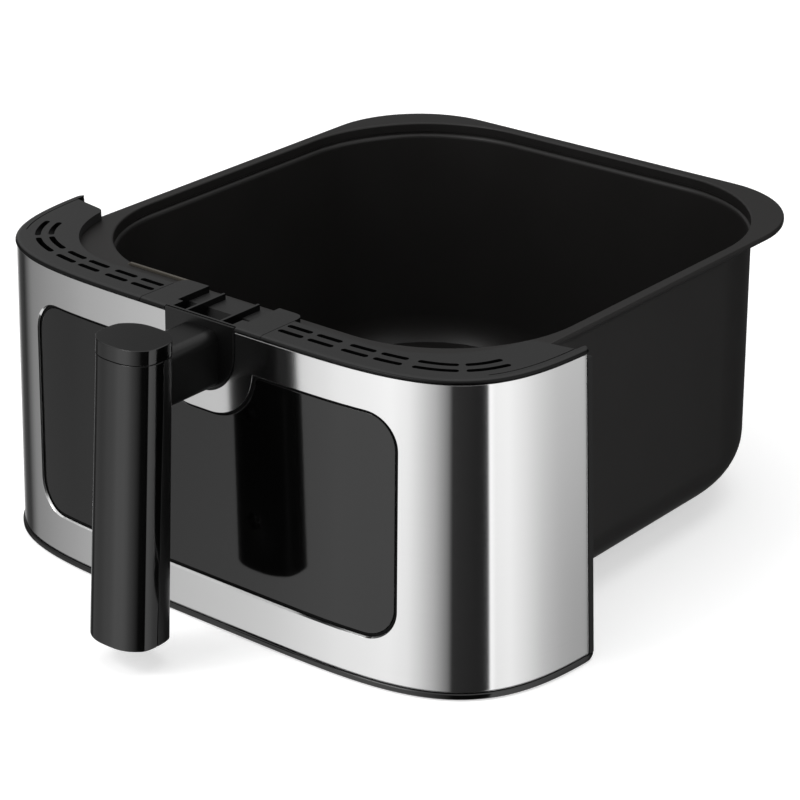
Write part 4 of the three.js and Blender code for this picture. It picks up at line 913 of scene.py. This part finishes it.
groove_track = track(GROOVE_INSET, WING_END)
groove_from = next(
    run for run, theta in zip(*groove_track) if theta <= theta_at_depth(GROOVE_START)
)
groove = block(
    (groove_from, GROOVE_INSET - GROOVE_WIDTH / 2, TRIM_HIGH - GROOVE_DEPTH),
    (groove_track[0][-1], GROOVE_INSET + GROOVE_WIDTH / 2, TRIM_HIGH + 2),
)
roll(groove, groove_track)
cut(trim, groove)
sharp_edges(trim, lambda point: point.z > mm(TRIM_HIGH) - 1e-6, angle=60)
bpy.ops.mesh.bevel(offset=mm(TOP_EDGE), segments=2, affect="EDGES", clamp_overlap=True)
leave()
only(trim)
bpy.ops.object.duplicate()
other = bpy.context.object
bpy.ops.transform.mirror(constraint_axis=(True, False, False))
bpy.ops.object.transform_apply(location=False, rotation=False, scale=True)
outward(other)
finish(trim, "vent_trim_r", "drawer", trim_nylon, ["vent_trim_right"], angle=30)
finish(other, "vent_trim_l", "drawer", trim_nylon, ["vent_trim_left"], angle=30)


# %% [markdown]
# ## The centre cover
# The cover between the trims has a recess behind the handle, with two ribs. The CAD solid has its shape,
# so a copy of its mesh is merged and its edges are broken by a small bevel, as a mould leaves them.

# %% The centre cover
def softened(node, width_mm, steps=2, angle=40):
    """A merged copy of a CAD mesh with its sharp edges rounded."""
    only(nodes[node])
    bpy.ops.object.duplicate()
    piece = bpy.context.object
    piece.parent = None
    outward(piece)
    pick(piece, "FACE", lambda face: True)
    bpy.ops.mesh.dissolve_limited(angle_limit=math.radians(1))
    leave()
    apply_modifier(
        piece, "BEVEL", width=mm(width_mm), segments=steps, limit_method="ANGLE",
        angle_limit=math.radians(angle), harden_normals=False,
    )
    return piece


cover = softened("centre_cover", 0.25)
finish(cover, "cover_plate", "drawer", trim_nylon, ["centre_cover"], angle=30)


# %% Upright walls with painted shade
def paint_wall_shade(piece, steepest=0.8):
    """Gives the faces that stand upright the smoother wall nylon, painted dark as shade, apart from those
    beside the pan.
    """
    def beside_pan(place):
        out = abs(place.x) * 1000 - (TRIM_SIDE - TRIM_RADIUS)
        behind = place.y * 1000 - (FRONT_Y + TRIM_FRONT + TRIM_RADIUS)
        reach = TRIM_RADIUS + 0.5
        return behind > -reach and (out < 0 or math.hypot(out, behind) < reach)

    # The second material paints shade on the upright faces.
    piece.data.materials.append(shaded_wall_nylon)
    walls = [
        face for face in piece.data.polygons
        if abs(face.normal.z) < steepest and (piece == cover or not beside_pan(face.center))
    ]
    for face in walls:
        face.material_index = 1
    print(f"{piece.name}: {len(walls)} wall faces")


for piece in (trim, other, cover):
    paint_wall_shade(piece)

# %% [markdown]
# ## The grip
# The grip is a four-sided bar whose faces are slightly crowned. It leans outwards towards its foot and
# widens a little. One body is bridged from rings, its four corners are bevelled, and it is then parted on a
# leaning plane into the front half and the rear half, as the two mouldings are. The cap is a short body
# of the same section.

# %% The grip's section
GRIP_HIGH = 147.4
GRIP_LOW = 12.8
GRIP_REACH = 39.2
GRIP_LEAN = 11.0
GRIP_HALF_WIDTH = 16.6
GRIP_HALF_DEPTH = 13.2
GRIP_FLARE = 0.9
FACE_BULGE = 6.0
SIDE_BULGE = 1.3
CROWN_POWER = 2.9  # above 2, a face is flatter in its middle and turns faster near its corners
CAP_SEAM = 140.7
CAP_INSET = 0.05
BODY_INSET = 0.16
GRIP_CORNER = 0.9
GRIP_STEPS = 26  # flats round each face


def grip_share(z):
    return (GRIP_HIGH - z) / (GRIP_HIGH - GRIP_LOW)


def grip_axis(z):
    return FRONT_Y - GRIP_REACH - GRIP_LEAN * grip_share(z)


def grip_ring(z, inset, steps=GRIP_STEPS):
    """Four crowned faces, as points at one level."""
    flare = GRIP_FLARE * grip_share(z)
    half_x = GRIP_HALF_WIDTH + flare - inset
    half_y = GRIP_HALF_DEPTH + flare - inset
    corner_x, corner_y = half_x - SIDE_BULGE, half_y - FACE_BULGE
    points = []
    for way, side in ((1, False), (1, True), (-1, False), (-1, True)):
        for i in range(steps):
            t = 2 * i / steps - 1
            crown = 1 - abs(t) ** CROWN_POWER
            if side:
                points.append((way * (corner_x + SIDE_BULGE * crown), way * corner_y * t))
            else:
                points.append((way * corner_x * t, -way * (corner_y + FACE_BULGE * crown)))
    return [(x, y + grip_axis(z), z) for x, y in points]


def grip_body(levels):
    """A body of the grip's section through (z, inset) levels, with its upright corners rounded."""
    piece = bridge_rings([grip_ring(z, inset) for z, inset in levels])
    corners = []
    for z, inset in levels:
        loop = grip_ring(z, inset)
        corners += [Vector(mm(*loop[k])) for k in range(0, 4 * GRIP_STEPS, GRIP_STEPS)]
    def on_corner(point):
        return min((point - corner).length for corner in corners) < 1e-5
    pick(piece, "EDGE", lambda edge: (
        all(on_corner(point) for point in ends(piece, edge))
        and abs(ends(piece, edge)[0].z - ends(piece, edge)[1].z) > 1e-6
    ))
    bpy.ops.mesh.bevel(offset=mm(GRIP_CORNER), segments=8, affect="EDGES")
    leave()
    return piece


# %% Front half, rear half and cap
PART_BEHIND = 1.4  # behind the grip's axis, at the top
PART_LEAN = 2.2  # how far the parting plane comes forward of the axis's slope by the foot
PART_GAP = 0.3  # between the halves, and under the cap
HALF_EDGE = 0.35
CAP_EDGE = 0.3

parting_way = Vector((0, GRIP_HIGH - GRIP_LOW, -GRIP_LEAN - PART_LEAN)).normalized()


def grip_half(keep_front):
    """The part of the grip on one side of the leaning parting plane, with its edges broken."""
    piece = grip_body([(GRIP_LOW, BODY_INSET), (CAP_SEAM, BODY_INSET)])
    offset = PART_BEHIND + (-PART_GAP / 2 if keep_front else PART_GAP / 2)
    pick(piece, "VERT", lambda point: True)
    bpy.ops.mesh.bisect(
        plane_co=mm(0, grip_axis(GRIP_HIGH) + offset, GRIP_HIGH), plane_no=parting_way,
        use_fill=True, clear_outer=keep_front, clear_inner=not keep_front,
    )
    leave()
    outward(piece)
    apply_modifier(
        piece, "BEVEL", width=mm(HALF_EDGE), segments=3, limit_method="ANGLE", angle_limit=math.radians(50),
    )
    return piece


front_half = grip_half(True)
finish(front_half, "grip_front_shell", "drawer", grip_gloss, ["grip_front"], angle=35)

cap = grip_body([(CAP_SEAM + PART_GAP, CAP_INSET), (GRIP_HIGH, CAP_INSET)])
sharp_edges(cap, lambda point: True, angle=60)
bpy.ops.mesh.bevel(offset=mm(CAP_EDGE), segments=3, affect="EDGES")
leave()
finish(cap, "grip_top_cap", "drawer", grip_gloss, ["grip_cap"], angle=35)

# %% [markdown]
# ## The arm and the block
# The rear half of the grip, the arm and the block that fills the steel's notch are one moulding. The arm
# is a block with well-rounded upper edges, and the block is a slab with the notch's outline, a little
# proud of the steel. The three are joined with a union, so no hidden faces stay inside.

# %% Rear half, arm and block
ARM_HALF = 11.0
ARM_HIGH = 140.0
ARM_LOW = 115.0
ARM_RADIUS = 5.0
ARM_UNDER_RADIUS = 2.5
ARM_SUNK = 6  # into the grip
ARM_BEHIND = 0.8  # behind the steel's face, inside the block
BLOCK_GAP = 0.45
BLOCK_PROUD = 0.5
BLOCK_BACK = 0.7
BLOCK_HIGH = 144.0
BLOCK_EDGE = 0.2
TINY = 0.02  # points this close would spoil a bevel or a smooth finish

rear_half = grip_half(False)
arm_front = grip_axis(ARM_HIGH) + GRIP_HALF_DEPTH - ARM_SUNK
arm = block((-ARM_HALF, arm_front, ARM_LOW), (ARM_HALF, FRONT_Y + ARM_BEHIND, ARM_HIGH))
round_edges(arm, 1, ARM_RADIUS, 10, lambda point: point.z > mm(ARM_HIGH) - 1e-5)
round_edges(arm, 1, ARM_UNDER_RADIUS, 6, lambda point: point.z < mm(ARM_LOW) + 1e-5)

plug = notch_block(BLOCK_GAP, 0, 1, BLOCK_HIGH)
merge(plug, TINY)
leave()
for vertex in plug.data.vertices:
    z = vertex.co.z * 1000
    front = FRONT_Y - BLOCK_PROUD - lean_at(z)
    vertex.co.y = mm(front) if vertex.co.y < mm(0.5) else mm(FRONT_Y + BLOCK_BACK)
sharp_edges(plug, lambda point: point.y < mm(FRONT_Y), angle=40)
bpy.ops.mesh.bevel(offset=mm(BLOCK_EDGE), segments=2, affect="EDGES")
leave()
for other_part in (arm, plug):
    apply_modifier(rear_half, "BOOLEAN", operation="UNION", solver="EXACT", object=other_part)
    bpy.data.objects.remove(other_part)
merge(rear_half, TINY)
leave()

# %% Pockets for the grip's screws
SCREW_HEAD = 2.6
POCKET_FIT = 0.3
POCKET_TOOL = 20  # long enough to run out of the grip

for name in ("grip_screw_1", "grip_screw_2"):
    low, high = [[value * 1000 for value in corner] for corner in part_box(name)]
    radius = (high[0] - low[0]) / 2 + POCKET_FIT
    bottom = high[1] - SCREW_HEAD
    only(camera)
    bpy.ops.mesh.primitive_cylinder_add(
        vertices=32, radius=mm(radius), depth=mm(POCKET_TOOL), rotation=(math.radians(90), 0, 0),
        location=mm(0, bottom + POCKET_TOOL / 2, (low[2] + high[2]) / 2),
    )
    cut(rear_half, bpy.context.object)
finish(rear_half, "arm_and_rear_shell", "drawer", satin_abs, ["handle_arm"], angle=35)

# %% [markdown]
# ## Pieces that keep their CAD shape
# The inner shell, the bracket, the screws, the plate and its bumpers are right as they are. They keep
# their meshes and get the finish of their real material.

# %% Finishes for the CAD nodes
CAD_FINISH = {
    "panel_backing": satin_abs,
    "pan_bracket": bracket_zinc,
    "crisper_plate": plate_coat,
    **{name: silicone for name in nodes if name.startswith("bumper")},
    **{name: screw_zinc for name in nodes if "_screw_" in name},
}
for name, material in CAD_FINISH.items():
    mesh = nodes[name].data
    if not mesh.materials:
        mesh.materials.append(material)
    for index in range(len(mesh.materials)):
        mesh.materials[index] = material
print("CAD meshes finished:", len(CAD_FINISH))

# %% [markdown]
# ## The studio
# The drawer stands on white paper in plain soft light. The floor and the sky show white to the camera, and
# the floor keeps the drawer's shadow. Steel and gloss black show nothing but what stands round them, so a
# tall ring of paper stands out of sight. Only reflections see it, through the floor too. It is bright
# ahead, grey or dark towards the sides, as studio screens and flags are, and pale overhead.

# %% Floor
FLOOR_SIZE = 12.0
FLOOR_DROP = 0.0005  # keeps the floor clear of the drawer's underside
PAPER_GLOW = 0.5  # only the camera sees it; it takes the paper to white
RING_RADIUS = 1.6
RING_HEIGHT = 9.0
LOWER_AT = -0.72  # the floor's height on the ring where the lower strengths hold
UPPER_AT = -0.40
CEILING_FROM = 1.05  # above this height the ring brightens into a pale ceiling
CEILING_FULL = 1.7
CEILING = 1.1
# Degrees to the right of straight ahead, and the paper's strength there, higher and lower on the ring.
SCREENS = (
    (-180, 0.05, 0.05), (-158, 0.17, 0.17), (-130, 0.18, 0.17), (-122, 0.30, 0.25), (-116, 0.95, 0.55),
    (-107, 0.25, 0.20), (-100, 0.08, 0.08), (-88, 0.03, 0.04), (-76, 0.30, 0.32), (-65, 0.36, 0.38),
    (-52, 0.46, 0.49), (-44, 0.60, 0.60), (-38, 0.80, 0.79), (-33, 1.03, 1.00), (-28, 1.24, 1.12),
    (-10, 1.40, 1.20), (0, 1.25, 1.10), (10, 0.88, 0.80), (18, 0.65, 0.55), (30, 0.22, 0.18),
    (32, 0.04, 0.03), (60, 0.02, 0.02), (66, 0.06, 0.05), (67, 1.60, 1.50), (73, 1.32, 1.14),
    (86, 1.36, 1.22), (101, 1.16, 0.98), (112, 0.97, 0.70), (122, 0.82, 0.53), (133, 0.80, 0.44),
    (137, 0.06, 0.05), (180, 0.05, 0.05),
)


def screen_strength(material):
    """Brightness by direction round the drawer and by height, from the table above."""
    place = add(material, "TexCoord").outputs["Object"]
    quarter = add(material, "Mapping", {"Vector": place}, {"Rotation": (0, 0, math.radians(90))})
    around = add(material, "TexGradient", {"Vector": quarter.outputs[0]}, gradient_type="RADIAL")
    brightest = max(max(strengths) for _, *strengths in SCREENS)
    ramps = []
    for row in (2, 1):
        ramp = add(material, "ValToRGB", {"Fac": around.outputs["Fac"]})
        stops = ramp.color_ramp.elements
        while len(stops) < len(SCREENS):
            stops.new(0.5)
        for stop, screen in zip(stops, SCREENS):
            stop.position = (screen[0] + 180) / 360
            stop.color = (screen[row] / brightest,) * 3 + (1,)
        ramps.append(ramp.outputs["Color"])
    height = add(material, "SeparateXYZ", {"Vector": place}).outputs["Z"]
    share = add(material, "MapRange", {"Value": height}, {"From Min": LOWER_AT, "From Max": UPPER_AT})
    shade = add(material, "Mix", {"Factor": share.outputs[0], "A": ramps[0], "B": ramps[1]},
                data_type="RGBA")
    scaled = add(material, "Math", {0: shade.outputs["Result"]}, {1: brightest}, operation="MULTIPLY")
    above = add(material, "MapRange", {"Value": height},
                {"From Min": CEILING_FROM, "From Max": CEILING_FULL, "To Max": CEILING})
    return add(material, "Math", {0: scaled.outputs[0], 1: above.outputs[0]}, operation="MAXIMUM").outputs[0]


def bare_material(name):
    material = bpy.data.materials.new(name)
    material.use_nodes = True
    tree = material.node_tree
    tree.nodes.remove(tree.nodes["Principled BSDF"])
    return material, tree.nodes["Material Output"]


paper, out = bare_material("white_paper_floor")
rays = add(paper, "LightPath")
plain = add(paper, "BsdfDiffuse", inputs={"Color": linear("#e6e6e6")})
glow = add(paper, "Math", {0: rays.outputs["Is Camera Ray"]}, {1: PAPER_GLOW}, operation="MULTIPLY")
lift = add(paper, "Emission", {"Strength": glow.outputs[0]})
shown = add(paper, "AddShader", {0: plain.outputs[0], 1: lift.outputs[0]})
clear = add(paper, "BsdfTransparent")
mix = add(paper, "MixShader", {
    0: rays.outputs["Is Glossy Ray"], 1: shown.outputs[0], 2: clear.outputs[0],
})
paper.node_tree.links.new(mix.outputs[0], out.inputs["Surface"])

only(camera)
bpy.ops.mesh.primitive_plane_add(size=FLOOR_SIZE, location=(0, 0, -FLOOR_DROP))
floor = bpy.context.object
floor.name = "floor"
floor.data.materials.append(paper)

# %% The ring of paper
screen, out = bare_material("reflected_paper")
seen = add(screen, "Emission", {"Strength": screen_strength(screen)})
screen.node_tree.links.new(seen.outputs[0], out.inputs["Surface"])

only(camera)
bpy.ops.mesh.primitive_cylinder_add(
    vertices=96, radius=RING_RADIUS, depth=RING_HEIGHT, end_fill_type="NOTHING",
)
tent = bpy.context.object
tent.name = "paper_ring"
tent.data.materials.append(screen)
tent.visible_camera = False
tent.visible_diffuse = False
tent.visible_shadow = False
tent.visible_transmission = False

# %% World and lamps
SKY_LIGHT = 0.35  # what the sky gives the drawer, of the 1.0 that is seen directly
world = bpy.data.worlds.new("studio")
bpy.context.scene.world = world
world.use_nodes = True
sky = world.node_tree.nodes["Background"]
path = add(world, "LightPath")
direct = add(world, "Math", {0: path.outputs["Is Camera Ray"], 1: path.outputs["Is Glossy Ray"]},
             operation="MAXIMUM")
direct = add(world, "Math", {0: direct.outputs[0], 1: path.outputs["Is Transmission Ray"]},
             operation="MAXIMUM")
level = add(world, "MapRange", {"Value": direct.outputs[0]}, {"To Min": SKY_LIGHT, "To Max": 1.0})
world.node_tree.links.new(level.outputs[0], sky.inputs["Strength"])
sky.inputs["Color"].default_value = (1, 1, 1, 1)


def softbox(name, place, size, watts, glossy):
    """An area lamp that faces the drawer's middle."""
    bpy.ops.object.light_add(type="AREA", location=place)
    lamp = bpy.context.object
    lamp.name = name
    lamp.data.shape = "RECTANGLE"
    lamp.data.size, lamp.data.size_y = size
    lamp.data.energy = watts
    lamp.visible_glossy = glossy
    aim = Vector((0, 0, 0.08)) - Vector(place)
    lamp.rotation_euler = aim.to_track_quat("-Z", "Y").to_euler()


only(camera)
softbox("overhead", (0.0, 0.1, 1.6), (1.6, 1.6), 13, False)
softbox("overhead_front", (-0.45, -1.1, 1.35), (0.7, 0.4), 6, True)
softbox("front_left", (-1.0, -1.3, 0.9), (0.9, 0.9), 9, False)
softbox("front_right", (1.3, -0.8, 0.8), (0.7, 0.9), 5, False)

bpy.context.scene.view_settings.view_transform = "Standard"
